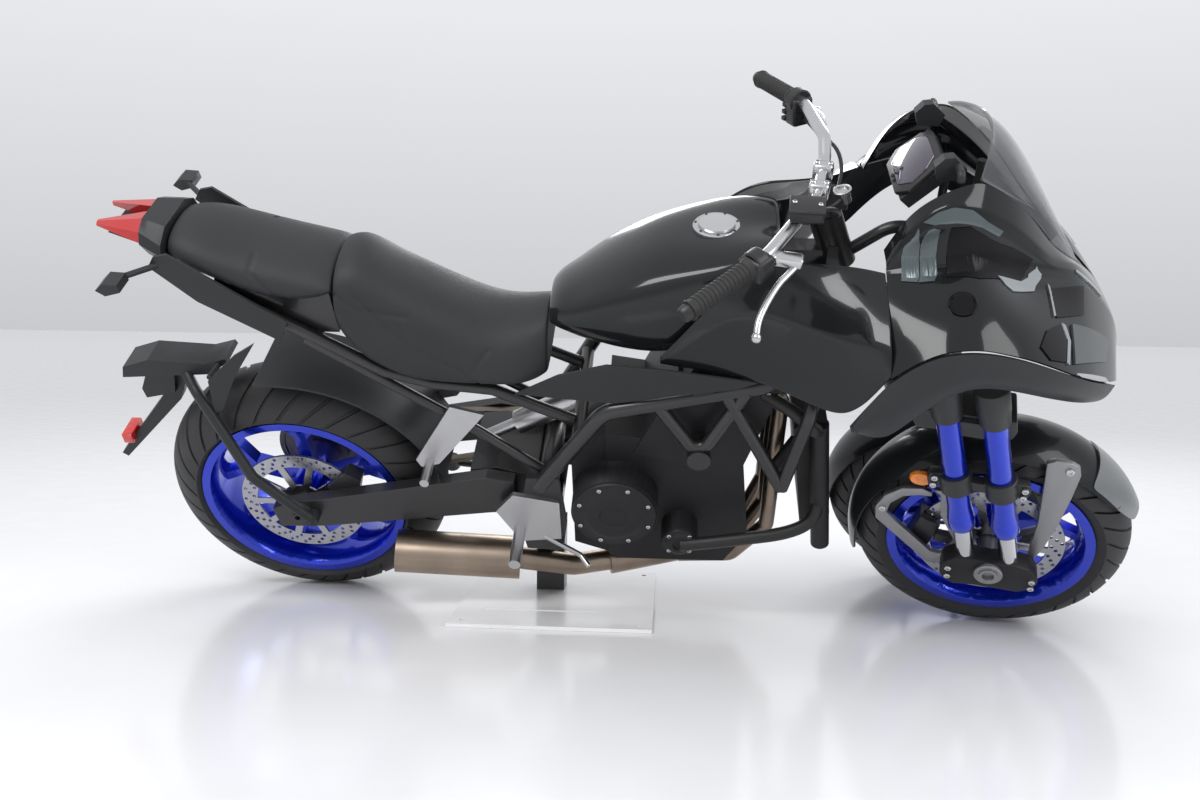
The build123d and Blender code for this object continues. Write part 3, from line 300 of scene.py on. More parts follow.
def right_way_out(obj, merge=0.0):
    """Merges what touches and points every face outwards."""
    open_mesh(obj)
    if merge:
        bpy.ops.mesh.remove_doubles(threshold=merge)
    bpy.ops.mesh.fill_holes(sides=0)
    close_mesh()


def lay_grid(name, columns, rows, point):
    """A grid primitive whose vertices are set by point(column, row), in millimetres."""
    bpy.ops.mesh.primitive_grid_add(x_subdivisions=columns, y_subdivisions=rows, size=1, location=(0, 0, 0))
    obj = bpy.context.object
    obj.name = name
    across = obj.data.attributes.new("across", "INT", "POINT")
    along = obj.data.attributes.new("along", "INT", "POINT")
    for vertex in obj.data.vertices:
        i = round((vertex.co.x + 0.5) * columns)
        j = round((vertex.co.y + 0.5) * rows)
        across.data[vertex.index].value = i
        along.data[vertex.index].value = j
        vertex.co = Vector(point(i, j)) * MM
    return obj


SHOULDER = math.radians(80)
CROWN_STEPS = 26
GROOVE_DEPTH = 4.5
GROOVE_REACH = (0.12, 0.93)
# Around the tyre within one pitch: place, cut on the right side, cut on the left side
PITCH_ROWS = ((0.00, 0, 0), (0.11, 0, 0), (0.14, 1, 0), (0.25, 1, 0), (0.28, 0, 0),
              (0.61, 0, 0), (0.64, 0, 1), (0.75, 0, 1), (0.78, 0, 0))


def make_tyre(name, ring_r, tube_r, seat_r, bead_half, flange_r, pitches, sweep):
    """A tyre about the origin, with its axle along Y."""
    shoulder_w = tube_r * math.sin(SHOULDER)
    shoulder_r = ring_r + tube_r * math.cos(SHOULDER)
    wall = [(bead_half, seat_r, 1), (bead_half + 2, flange_r, 1),
            (0.55 * shoulder_w + 0.45 * bead_half + 2, 0.5 * (flange_r + shoulder_r), 1)]
    crown = []
    for step in range(CROWN_STEPS + 1):
        u = -1 + 2 * step / CROWN_STEPS
        crown.append((tube_r * math.sin(u * SHOULDER), ring_r + tube_r * math.cos(u * SHOULDER), u))
    profile = [(-y, r, -1) for y, r, u in wall] + crown + list(reversed(wall))
    columns = len(profile)
    rows = len(PITCH_ROWS) * pitches

    def point(i, j):
        y, r, u = profile[i % columns]
        pitch, row = divmod(j % rows, len(PITCH_ROWS))
        place, right_cut, left_cut = PITCH_ROWS[row]
        cut = right_cut if u < 0 else left_cut
        if cut and GROOVE_REACH[0] < abs(u) < GROOVE_REACH[1]:
            r -= GROOVE_DEPTH * math.cos(u * SHOULDER)
            y -= GROOVE_DEPTH * math.sin(u * SHOULDER)
        angle = 2 * math.pi * (pitch + place) / pitches - sweep * abs(u) ** 1.4
        return (r * math.sin(angle), y, r * math.cos(angle))

    tyre = lay_grid(name, columns, rows, point)
    right_way_out(tyre, merge=MERGE)
    shade_by_angle(tyre, 32)
    return tyre


tyre_rubber = finish("tyre_rubber", (0.018, 0.018, 0.019), 0.55, shade=0.08, grain=0.15, grain_size=700)
# Where each wheel stands, and the tyres' sizes in make_tyre's order
WHEEL_PLACE = {"rear": rear_place, "front_right": fork_place[RIGHT], "front_left": fork_place[LEFT]}
REAR_TYRE = (225.5, 95, 218, 77, 232, 30, 0.30)
FRONT_TYRE = (214.5, 60, 190.5, 44, 205, 30, 0.26)
for wheel, place in WHEEL_PLACE.items():
    tyre = make_tyre(f"tyre_{wheel}_tread", *(REAR_TYRE if wheel == "rear" else FRONT_TYRE))
    ride_piece(tyre, "wheel_" + wheel, tyre_rubber, ["tyre_" + wheel], place)

# Rims: cast alloy in metallic blue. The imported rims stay, with their cast edges rounded.
rim_blue = finish("rim_blue", (0.004, 0.030, 0.56), 0.24, metal=0.8, coat=0.9)
for wheel in WHEEL_PLACE:
    dress_nodes(rim_blue, "rim_" + wheel)
    break_edges(0.003, "rim_" + wheel)

# Brake discs: steel, each drilled with three rings of holes; dark cast calipers
disc_steel = finish("disc_steel", (0.46, 0.46, 0.47), 0.28, metal=1.0, grain=0.05, shade_size=20)
caliper_dark = finish("caliper_dark", (0.05, 0.05, 0.052), 0.4, metal=0.7, grain=0.1)
HOLE_R = 4.2
HOLES_ROUND = 26
DRILL_LENGTH = 0.02


def drill_disc(wheel, rings, y, place):
    """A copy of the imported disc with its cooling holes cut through."""
    disc = nodes["disc_" + wheel].copy()
    disc.data = disc.data.copy()
    disc.name = f"disc_{wheel}_drilled"
    disc.parent = None
    bpy.context.scene.collection.objects.link(disc)
    disc.matrix_world = Matrix.Identity(4)
    open_mesh(disc)
    bpy.ops.mesh.remove_doubles(threshold=MERGE)
    bpy.ops.object.mode_set(mode="OBJECT")
    tool = bmesh.new()
    across = Matrix.Rotation(math.pi / 2, 4, "X")
    for ring, radius in enumerate(rings):
        for hole in range(HOLES_ROUND):
            angle = 2 * math.pi * (hole + ring / 3) / HOLES_ROUND
            middle = Vector((radius * math.sin(angle), y, radius * math.cos(angle))) * MM
            bmesh.ops.create_cone(tool, cap_ends=True, segments=10, radius1=HOLE_R * MM, radius2=HOLE_R * MM,
                                  depth=DRILL_LENGTH, matrix=place @ Matrix.Translation(middle) @ across)
    drill_mesh = bpy.data.meshes.new("drill")
    tool.to_mesh(drill_mesh)
    tool.free()
    drill = bpy.data.objects.new("drill", drill_mesh)
    bpy.context.scene.collection.objects.link(drill)
    apply_modifier(disc, "BOOLEAN", operation="DIFFERENCE", object=drill, solver="EXACT")
    bpy.data.objects.remove(drill)
    shade_by_angle(disc, 30)
    ride_piece(disc, "wheel_" + wheel, disc_steel, ["disc_" + wheel], Matrix.Identity(4))


# The radii of each disc's rings of holes, and the disc's middle along the axle
DISC_HOLES = {"rear": ((114, 124, 134), -84), "front_right": ((123, 133, 143), -40),
              "front_left": ((123, 133, 143), 40)}
for wheel, (rings, y) in DISC_HOLES.items():
    drill_disc(wheel, rings, y, WHEEL_PLACE[wheel])
    dress_nodes(caliper_dark, "caliper_" + wheel)

# Front forks: two raked tubes on the outer side of each wheel, blue outers over chromed inners,
# joined by a clamp and by the bottom casting that holds the axle. Turned parts and cut plates.
FORK_RAKE = math.radians(15)
FORK_Y = 102
FORK_FEET = (-42, 42)


def turned(name, start, end, profile, segments=36):
    """A part turned on a lathe about the line from start to end: profile holds (distance, radius)."""
    start = Vector(start)
    run = (Vector(end) - start).normalized()
    first = run.orthogonal().normalized()
    second = run.cross(first)

    def point(i, j):
        distance, radius = profile[i]
        angle = 2 * math.pi * (j % segments) / segments
        return start + run * distance + (first * math.cos(angle) + second * math.sin(angle)) * radius

    obj = lay_grid(name, len(profile) - 1, segments, point)
    right_way_out(obj, merge=FINE_MERGE)
    shade_by_angle(obj, 35)
    return obj


def cut_plate(name, outline, y_from, y_to, bevel):
    """A plate cut to a side-view outline of (x, z) points and as thick as y_from to y_to."""
    bpy.ops.mesh.primitive_circle_add(vertices=len(outline), radius=1, fill_type="NGON", location=(0, 0, 0))
    obj = bpy.context.object
    obj.name = name
    for vertex, (x, z) in zip(obj.data.vertices, outline):
        vertex.co = Vector((x, y_from, z)) * MM
    open_mesh(obj)
    bpy.ops.mesh.extrude_region_move(TRANSFORM_OT_translate={"value": (0, (y_to - y_from) * MM, 0)})
    close_mesh()
    apply_modifier(obj, "BEVEL", width=bevel * MM, segments=2, limit_method="ANGLE",
                   angle_limit=math.radians(25))
    shade_by_angle(obj, 35)
    return obj


def join(name, pieces):
    """Joins pieces into one."""
    only(pieces[0])
    for piece in pieces[1:]:
        piece.select_set(True)
    if len(pieces) > 1:
        bpy.ops.object.join()
    pieces[0].name = name
    return pieces[0]


def ride_parts(made, looks, body, replaced, place, suffix=""):
    """Joins the parts of each piece and hangs it on its body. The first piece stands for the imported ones."""
    for name, (look, slot) in looks.items():
        ride_piece(join(name + suffix, made[name]), body, look, replaced, place)
        replaced = ()


def cap_screw(centre, out, radius, length):
    """A socket-head screw whose head stands out from centre along the direction out."""
    out = Vector(out).normalized()
    top = Vector(centre) + out * length
    return turned("screw", centre, top, [(0, radius), (length - 1, radius), (length, radius - 1),
                                         (length, 0.55 * radius), (length - 2.5, 0.5 * radius),
                                         (length - 2.5, 0.0)], 14)


fork_blue = finish("fork_blue", (0.005, 0.036, 0.58), 0.22, metal=0.7, coat=0.9)
fork_grey = finish("fork_grey", (0.035, 0.036, 0.038), 0.45, metal=0.3, grain=0.1, grain_size=800)
chrome = finish("chrome", (0.68, 0.68, 0.69), 0.1, metal=1.0)
cast_silver = finish("cast_silver", (0.30, 0.30, 0.31), 0.42, metal=0.85, grain=0.18, grain_size=600)
screw_zinc = finish("screw_zinc", (0.62, 0.62, 0.63), 0.25, metal=1.0)
amber = finish("reflector_amber", (0.85, 0.24, 0.01), 0.12, coat=1.0, shade=0.25, shade_size=90)


def fork_at(foot, side, z):
    """The middle of a fork tube at height z above the hub."""
    return (foot - z * math.tan(FORK_RAKE), side * FORK_Y, z)


def stem_at(z):
    """The middle of the steering stem at height z above the hub."""
    return (STEER_FOOT_X - z * math.tan(RAKE), 0, z)


FORK_LOOKS = {"fork_tubes": (fork_blue, "fork_blue"), "fork_clamps": (fork_grey, "fork_blue"),
              "fork_inners": (chrome, "fork_blue"), "fork_casting": (cast_black, "fork_blue"),
              "front_axle": (cast_silver, "fork_blue"), "fork_screws": (screw_zinc, "fork_blue")}
# What is turned on each fork tube: the piece, its foot above the hub and its profile (height, radius)
TUBE_PARTS = (
    ("fork_tubes", 106, [(0, 17), (0, 25), (3, 26.5), (26, 26.5), (29, 25), (40, 25), (44, 24), (60, 23),
                         (330, 23), (330, 17)]),
    ("fork_clamps", 392, [(0, 23.2), (0, 27.5), (3, 28.5), (26, 29), (30, 30.5), (76, 31), (80, 29),
                          (80, 23.2)]),
    ("fork_clamps", 208, [(0, 23.2), (0, 29), (2, 31), (42, 31), (44, 29), (44, 23.2)]),
    ("fork_inners", 20, [(0, 0), (0, 17), (2, 18.5), (92, 18.5), (92, 0)]),
)
CLAMP_Z = 230
EAR_OUT = 42
BRACKET_Z = 346
BOSS_TOP = 388
STEM_TOP = 618
# The bracket that reaches in over the wheel to the steering stem, behind the tubes
BRACKET = [(-196, BRACKET_Z), (-110, BRACKET_Z), (-24, BRACKET_Z), (-18, 366), (-24, 392), (-120, 394),
           (-204, 392), (-206, 360)]
BRACKET_WEB = [(-146, 352), (-44, 352), (-44, 388), (-152, 388)]
BOSS = [(0, 0), (0, 31), (3, 34), (41, 34), (44, 31), (44, 0)]
# The cast bottom piece, and the axle through it
CASTING = [(-92, -30), (-80, -46), (-62, -56), (-20, -50), (20, -50), (66, -50), (92, -34), (100, -14),
           (92, 8), (76, 24), (44, 31), (0, 24), (-44, 31), (-72, 24), (-90, 4)]
CASTING_Y = (78, 124)
CASTING_SCREWS = ((86, -8), (88, -28), (-78, -6), (-76, -30))
AXLE = [(0, 0), (0, 12), (72, 12), (72, 20), (114, 20), (114, 12), (157, 12), (157, 26), (160, 28), (166, 28),
        (168, 26), (168, 19), (171, 19), (171, 12), (162, 10), (162, 0)]
AXLE_Y = (-34, 140)
slant = math.cos(FORK_RAKE)
for side in (RIGHT, LEFT):
    made = {name: [] for name in FORK_LOOKS}
    clamps = made["fork_clamps"]
    screws = made["fork_screws"]
    for foot in FORK_FEET:
        for piece, z_from, profile in TUBE_PARTS:
            along_tube = [(height / slant, radius) for height, radius in profile]
            made[piece].append(turned("tube", fork_at(foot, side, z_from), fork_at(foot, side, z_from + 100),
                                      along_tube, 40))
        ear = -1 if foot < 0 else 1
        ear_x = fork_at(foot, side, CLAMP_Z)[0] + ear * EAR_OUT
        clamps.append(cut_plate("ear", [
            (ear_x - ear * 22, 212), (ear_x + ear * 8, 214), (ear_x + ear * 12, CLAMP_Z),
            (ear_x + ear * 8, 246), (ear_x - ear * 22, 250)], side * FORK_Y - 9, side * FORK_Y + 12, 2))
        for screw_z in (221, 240):
            screws.append(cap_screw((ear_x - ear, side * (FORK_Y + 12), screw_z), (0, side, 0), 6.5, 6))
    back_x, front_x = (fork_at(foot, side, CLAMP_Z)[0] for foot in FORK_FEET)
    clamps.append(cut_plate("web", [
        (back_x, 216), (front_x, 216), (front_x + 2, 226), (front_x, 244), (0.5 * (back_x + front_x), 238),
        (back_x, 244)], side * FORK_Y - 12, side * FORK_Y + 10, 2))
    clamps.append(cut_plate("bracket", BRACKET, side * 12, side * (FORK_Y - 6), 4))
    clamps.append(turned("boss", stem_at(BRACKET_Z), stem_at(BOSS_TOP), BOSS))
    clamps.append(cut_plate("web", BRACKET_WEB, side * (FORK_Y - 8), side * (FORK_Y + 8), 3))
    length = (Vector(stem_at(STEM_TOP)) - Vector(stem_at(BRACKET_Z))).length
    clamps.append(turned("stem", stem_at(BRACKET_Z), stem_at(STEM_TOP), [
        (0, 0), (0, 17), (length - 15, 17), (length - 15, 26), (length - 2, 26), (length, 24), (length, 0)]))
    made["fork_casting"].append(cut_plate("casting", CASTING, side * CASTING_Y[0], side * CASTING_Y[1], 5))
    made["front_axle"].append(turned("axle", (0, side * AXLE_Y[0], 0), (0, side * AXLE_Y[1], 0), AXLE, 32))
    for screw_x, screw_z in CASTING_SCREWS:
        screws.append(cap_screw((screw_x, side * (CASTING_Y[1] - 1), screw_z), (0, side, 0), 6.5, 6))
    fork_name = "fork_" + SIDE_NAME[side]
    ride_parts(made, FORK_LOOKS, fork_name, [fork_name], fork_place[side], "_" + SIDE_NAME[side])

# Front fenders: moulded shells close round each tyre, a silver-grey nose, and cast side brackets.
# The shell is a bowed strip; the brackets are cut plates bolted to the fork's casting.
FENDER_R = 288.5
FENDER_HALF = 70
FENDER_DROP = 24
FENDER_THICK = 4
FENDER_FRONT = -62
FENDER_BACK = 108
fender_black = finish("fender_black", (0.012, 0.013, 0.014), 0.3, coat=0.3, specular=0.15, shade=0.05)
fender_silver = finish("fender_silver", (0.22, 0.23, 0.235), 0.3, metal=0.75, coat=0.5)


def fender_strip(angle_from, angle_to, radius, half, rows, nose=0.0, tail=0.0):
    """Part of a fender between two angles from straight up towards the back, narrowed at its ends."""
    def point(i, j):
        share = j / rows
        angle = math.radians(angle_from + (angle_to - angle_from) * share)
        across = -1 + i / 4
        narrow = 1 - nose * (1 - share) ** 4 - tail * share ** 4
        r = radius - FENDER_DROP * abs(across) ** 2.2 * narrow ** 1.5
        return (-r * math.sin(angle), half * narrow * across, r * math.cos(angle))

    strip = lay_grid("strip", 8, rows, point)
    apply_modifier(strip, "SUBSURF", levels=2, render_levels=2)
    open_mesh(strip)
    close_mesh()
    apply_modifier(strip, "SOLIDIFY", thickness=FENDER_THICK * MM, offset=0)
    shade_by_angle(strip, 40)
    return strip


FENDER_LOOKS = {"fender_shell": (fender_black, "panel_matte"), "fender_nose": (fender_silver, "panel_matte"),
                "fender_fin": (cast_silver, "panel_matte"), "fender_bracket": (cast_silver, "panel_matte"),
                "side_reflector": (amber, "panel_matte"), "fender_screws": (screw_zinc, "panel_matte")}
FIN = [(52, 282), (66, 292), (98, 290), (112, 282), (118, 262), (116, 200), (110, 120), (98, 40), (84, -2),
       (76, -4), (74, 30), (72, 120), (60, 220)]
BACK_BRACKET = [(-62, -46), (-116, -50), (-236, 62), (-240, 96), (-226, 132), (-196, 160), (-158, 168),
                (-138, 160), (-136, 150), (-160, 148), (-190, 138), (-212, 112), (-216, 84), (-196, 62),
                (-112, -16), (-92, -18), (-74, 30), (-112, 100), (-120, 156), (-136, 168), (-110, 172),
                (-98, 160), (-90, 104), (-56, 36), (-54, 4)]
# Each fender screw: x, height, how far the plate under it stands out from the shell, and head radius
FENDER_SCREWS = ((96, 272, 8, 8), (-84, -34, 12, 7), (-226, 96, 12, 7))
LENS = [(0, 0), (0, 17), (6, 17), (9, 15), (11, 9), (12, 0)]
LENS_X = -165
LENS_Z = 196
LENS_STRETCH = 1.3


def side_lens(side):
    """The reflector beside the wheel: turned, then stretched into an oval."""
    lens = turned("lens", (LENS_X, side * 76, LENS_Z), (LENS_X, side * 90, LENS_Z), LENS, 28)
    for vertex in lens.data.vertices:
        vertex.co.x = (vertex.co.x - LENS_X * MM) * LENS_STRETCH + LENS_X * MM
    return lens


for side in (RIGHT, LEFT):
    foot = side * FENDER_HALF
    made = {
        "fender_shell": [fender_strip(-50, FENDER_BACK, FENDER_R + 2, FENDER_HALF, 12, tail=0.25)],
        "fender_nose": [fender_strip(FENDER_FRONT, -33, FENDER_R + 4.5, FENDER_HALF - 4, 8, nose=0.35)],
        "fender_fin": [cut_plate("fin", FIN, foot - side * 4, foot + side * 8, 2.5)],
        "fender_bracket": [cut_plate("bracket", BACK_BRACKET, foot, foot + side * 12, 2)],
        "side_reflector": [side_lens(side)],
        "fender_screws": [cap_screw((x, foot + side * out, z), (0, side, 0), radius, 5)
                          for x, z, out, radius in FENDER_SCREWS],
    }
    ride_parts(made, FENDER_LOOKS, "fork_" + SIDE_NAME[side], ["fender_front_" + SIDE_NAME[side]],
               fork_place[side], "_" + SIDE_NAME[side])

# Fuel tank: pressed steel, painted in a dark metallic under clear lacquer.
# A grid rolled up through its sections, with a crease along each shoulder, then subdivided.


def smooth(obj, levels):
    """Applies a subdivision surface."""
    apply_modifier(obj, "SUBSURF", levels=levels, render_levels=levels, boundary_smooth="PRESERVE_CORNERS")


def crease(obj, tag, values, amount):
    """Creases the edges that run along a row or column of the grid."""
    marks = [item.value for item in obj.data.attributes[tag].data]
    edge_crease = (obj.data.attributes.get("crease_edge")
                   or obj.data.attributes.new("crease_edge", "FLOAT", "EDGE"))
    for edge in obj.data.edges:
        first, second = edge.vertices
        if marks[first] == marks[second] and marks[first] in values:
            edge_crease.data[edge.index].value = amount


CAP_INSET = 0.006
SKIN_MERGE = 0.00005


def roll_skin(name, sections, levels, sharp, amount):
    """A closed body through sections: an x, then out and up of each point from the underside to the top."""
    half_count = len(sections[0]) // 2 + 1
    ring = 2 * half_count - 2

    def point(i, j):
        x, *numbers = sections[j]
        half = [(0, numbers[1]), *zip(numbers[::2], numbers[1::2])]
        i = i % ring
        w, z = half[i] if i < half_count else half[ring - i]
        return (x, -w if i < half_count else w, z)

    obj = lay_grid(name, ring, len(sections) - 1, point)
    open_mesh(obj)
    bpy.ops.mesh.remove_doubles(threshold=SKIN_MERGE)
    bpy.ops.mesh.fill_holes(sides=0)
    bpy.ops.mesh.select_mode(type="FACE")
    bpy.ops.mesh.select_all(action="DESELECT")
    bpy.ops.object.mode_set(mode="OBJECT")
    for face in obj.data.polygons:
        face.select = len(face.vertices) > 4
    bpy.ops.object.mode_set(mode="EDIT")
    bpy.ops.mesh.inset(thickness=CAP_INSET, use_boundary=True)
    close_mesh()
    crease(obj, "across", {sharp, ring - sharp}, amount)
    smooth(obj, levels)
    shade_by_angle(obj, 60)
    return obj


gloss_paint = finish("gloss_paint", (0.011, 0.0125, 0.0135), 0.2, metal=0.1, coat=0.5, specular=0.12,
                     shade=0.06, smudge=0.03)
tank = roll_skin("tank_skin", [
    (592, 40, 812, 64, 815, 72, 828, 62, 845, 36, 855, 0, 857),
    (610, 52, 806, 80, 811, 92, 838, 76, 862, 42, 872, 0, 875),
    (640, 64, 803, 97, 806, 108, 851, 90, 874, 48, 890, 0, 894),
    (680, 80, 798, 117, 801, 128, 874, 102, 902, 54, 916, 0, 921),
    (742, 95, 792, 140, 797, 150, 905, 120, 936, 62, 953, 0, 957),
    (809, 100, 788, 152, 793, 166, 915, 132, 962, 72, 986, 0, 990),
    (893, 100, 808, 152, 813, 167, 920, 138, 984, 84, 1002, 0, 1003),
    (948, 100, 816, 150, 822, 163, 935, 134, 998, 80, 1013, 0, 1004),
    (994, 90, 832, 133, 838, 150, 950, 124, 1006, 72, 1019, 0, 1003),
    (1026, 80, 860, 110, 868, 134, 966, 112, 1009, 62, 1019, 0, 1001),
    (1040, 60, 890, 88, 893, 118, 976, 98, 1008, 54, 1012, 0, 1000),
], levels=3, sharp=4, amount=0.35)
ride_piece(tank, "chassis", gloss_paint, ["fuel_tank"])

# Seats: foam under grained charcoal vinyl, with sewn seams.
# Each is a rolled grid, subdivided until a seam can be pressed into it.
seat_vinyl = finish("seat_vinyl", (0.024, 0.025, 0.027), 0.55, specular=0.3, shade=0.06, smudge=0.06,
                    grain=0.5, grain_size=520)
SEAM_WIDTH = 0.0035
SEAM_DEPTH = 0.0028
SEAM_REACH = 0.02


def press_seam(obj, path):
    """Presses a sewn seam into a piece along a side-view path of (x, z) points, on both sides."""
    runs = [(Vector(a) * MM, Vector(b) * MM) for a, b in zip(path, path[1:])]
    low_x = min(min(a.x, b.x) for a, b in runs) - SEAM_REACH
    high_x = max(max(a.x, b.x) for a, b in runs) + SEAM_REACH
    for vertex in obj.data.vertices:
        if not low_x < vertex.co.x < high_x:
            continue
        here = Vector((vertex.co.x, vertex.co.z))
        nearest = SEAM_REACH
        for a, b in runs:
            run = b - a
            share = min(1, max(0, (here - a).dot(run) / run.length_squared))
            nearest = min(nearest, (here - a - run * share).length)
        if nearest < SEAM_REACH and abs(vertex.normal.y) > 0.25:
            vertex.co -= vertex.normal * SEAM_DEPTH * math.exp(-(nearest / SEAM_WIDTH) ** 2)


rider_seat = roll_skin("rider_seat_skin", [
    (176, 70, 800, 100, 806, 118, 872, 100, 922, 56, 944, 0, 950),
    (200, 80, 770, 112, 776, 129, 835, 104, 928, 58, 950, 0, 957),
    (230, 84, 745, 122, 752, 138, 800, 105, 920, 59, 949, 0, 956),
    (278, 84, 722, 122, 727, 147, 752, 112, 876, 62, 912, 0, 919),
    (333, 84, 705, 122, 709, 148, 732, 116, 846, 64, 880, 0, 885),
    (409, 84, 701, 122, 705, 148, 726, 114, 806, 64, 836, 0, 841),
    (481, 84, 699, 120, 703, 147, 720, 110, 780, 60, 805, 0, 810),
    (545, 80, 699, 114, 703, 141, 716, 96, 788, 54, 808, 0, 812),
    (588, 66, 714, 96, 718, 116, 732, 76, 806, 40, 824, 0, 828),
], levels=4, sharp=3, amount=0.3)
for seam_path in ([(180, 905), (215, 880), (262, 868), (318, 852)],
                  [(222, 900), (262, 850), (330, 790), (420, 745), (452, 705)],
                  [(455, 704), (440, 745), (470, 778)]):
    press_seam(rider_seat, seam_path)
ride_piece(rider_seat, "chassis", seat_vinyl, ["rider_seat"])

pillion = roll_skin("passenger_seat_skin", [
    (-138, 50, 966, 68, 968, 85, 980, 76, 1000, 46, 1012, 0, 1016),
    (-118, 66, 957, 84, 961, 101, 977, 88, 1001, 52, 1015, 0, 1019),
    (-82, 76, 943, 97, 947, 114, 968, 99, 996, 58, 1010, 0, 1014),
    (-25, 86, 922, 108, 927, 122, 948, 108, 976, 62, 991, 0, 996),
    (47, 90, 893, 112, 898, 124, 920, 110, 953, 64, 970, 0, 975),
    (120, 88, 888, 110, 892, 122, 912, 104, 937, 62, 952, 0, 957),
    (158, 80, 892, 100, 896, 115, 913, 95, 932, 56, 942, 0, 947),
    (174, 70, 898, 92, 901, 109, 914, 88, 926, 50, 934, 0, 938),
], levels=4, sharp=3, amount=0.25)
for seam_path in ([(28, 985), (24, 955), (80, 900), (160, 905)],
                  [(-140, 985), (-80, 958), (10, 920), (80, 900)]):
    press_seam(pillion, seam_path)
ride_piece(pillion, "chassis", seat_vinyl, ["passenger_seat"])

# Arch bands: matte moulded panels that arch over the front wheels.
# A bowed strip from the upper to the lower edge, given its thickness by Solidify.
ARCH_TOP = [(1150, 366, 819), (1176, 370, 872), (1207, 374, 924), (1244, 377, 962), (1283, 379, 985),
            (1348, 379, 993), (1432, 372, 969), (1519, 346, 918), (1585, 296, 867), (1644, 227, 812)]
ARCH_LOW = [(1158, 364, 799), (1186, 369, 790), (1216, 373, 791), (1240, 376, 820), (1264, 378, 850),
            (1326, 378, 913), (1396, 374, 909), (1482, 352, 871), (1563, 300, 819), (1606, 258, 790)]
matte_panel = finish("matte_panel", (0.022, 0.024, 0.026), 0.42, specular=0.3, grain=0.12, grain_size=1100)


def mirror_across(obj):
    """Adds the other half across the machine's middle, merged where the halves meet."""
    apply_modifier(obj, "MIRROR", use_axis=(False, True, False), use_clip=False, merge_threshold=0.0003)


def thicken(obj, thick, axis):
    """Gives a sheet its thickness on the inner side; its first face looks along this axis."""
    inward = obj.data.polygons[0].normal[axis] < 0
    apply_modifier(obj, "SOLIDIFY", thickness=thick, offset=1 if inward else -1)


Y_AXIS = 1
Z_AXIS = 2
ARCH_BOW = (0, 4, 6, 5, 0, -8)


def arch_point(i, j):
    """A point of the arch band, bowed outwards between its edges."""
    x, w, z = Vector(ARCH_TOP[j]).lerp(Vector(ARCH_LOW[j]), i / 5)
    return (x, w + ARCH_BOW[i], z)


arch = lay_grid("arch_skin", 5, len(ARCH_TOP) - 1, arch_point)
smooth(arch, 3)
right_way_out(arch)
thicken(arch, 0.012, Y_AXIS)
apply_modifier(arch, "BEVEL", width=0.002, segments=2, limit_method="ANGLE")
mirror_across(arch)
right_way_out(arch)
shade_by_angle(arch, 40)
ride_piece(arch, "chassis", matte_panel, ["arch_bands"])

# Front cowl: glossy moulded side panels from the arch bands up to the screen.
# Each half is one strip: a bowed lower panel, a ridge, a dark hollow upper panel and a bright facet above it.
COWL_ROWS = [
    # x, arch edge, lower panel, ridge, above the ridge, hollow, facet's foot, facet's top, screen's edge
    (1207, 366, 925, 292, 990, 204, 1028, 196, 1032, 193, 1038, 190, 1040, 184, 1043, 152, 1047),
    (1228, 368, 946, 296, 1004, 209, 1033, 198, 1040, 196, 1058, 194, 1078, 186, 1092, 156, 1098),
    (1250, 370, 966, 300, 1012, 214, 1037, 201, 1045, 198, 1076, 200, 1104, 186, 1124, 162, 1136),
    (1283, 371, 986, 306, 1021, 226, 1042, 208, 1050, 200, 1092, 203, 1130, 189, 1154, 166, 1164),
    (1316, 371, 991, 312, 1029, 234, 1048, 213, 1055, 200, 1094, 202, 1133, 188, 1160, 162, 1177),
    (1352, 370, 992, 312, 1031, 240, 1053, 214, 1059, 198, 1092, 199, 1126, 185, 1148, 155, 1185),
    (1392, 368, 981, 306, 1019, 230, 1034, 204, 1044, 184, 1068, 184, 1098, 172, 1122, 142, 1158),
    (1432, 364, 969, 296, 1003, 213, 1009, 186, 1020, 166, 1038, 166, 1062, 156, 1092, 126, 1126),
    (1480, 352, 943, 276, 978, 190, 992, 164, 1002, 146, 1014, 144, 1028, 132, 1046, 101, 1070),
    (1519, 338, 918, 256, 956, 169, 979, 146, 986, 132, 992, 128, 998, 114, 1006, 86, 1021),
    (1560, 312, 889, 232, 930, 142, 968, 124, 973, 112, 977, 104, 980, 86, 984, 58, 982),
    (1592, 284, 861, 204, 908, 118, 953, 104, 958, 92, 960, 82, 962, 60, 962, 28, 952),
    (1644, 220, 814, 158, 862, 96, 896, 88, 899, 78, 900, 68, 902, 46, 904, 0, 906),
    (1676, 166, 776, 126, 816, 84, 848, 76, 852, 68, 854, 58, 856, 38, 857, 0, 858),
    (1693, 104, 742, 92, 778, 72, 806, 66, 811, 58, 813, 48, 815, 32, 816, 0, 817),
]


def lay_rows(name, rows):
    """A grid through rows: an x, then out and up of each point across."""
    return lay_grid(name, len(rows[0]) // 2 - 1, len(rows) - 1,
                    lambda i, j: (rows[j][0], *rows[j][2 * i + 1:2 * i + 3]))


cowl = lay_rows("cowl_skin", COWL_ROWS)
crease(cowl, "across", {2, 3, 6}, 0.75)
crease(cowl, "across", {5}, 0.5)
crease(cowl, "along", {len(COWL_ROWS) - 1}, 1.0)
smooth(cowl, 3)
thicken(cowl, 0.004, Z_AXIS)
mirror_across(cowl)
shade_by_angle(cowl, 35)
cowl_gloss = finish("cowl_gloss", (0.008, 0.009, 0.010), 0.16, coat=0.45, specular=0.12, shade=0.04,
                    smudge=0.03)
ride_piece(cowl, "chassis", cowl_gloss, ["front_cowl"])

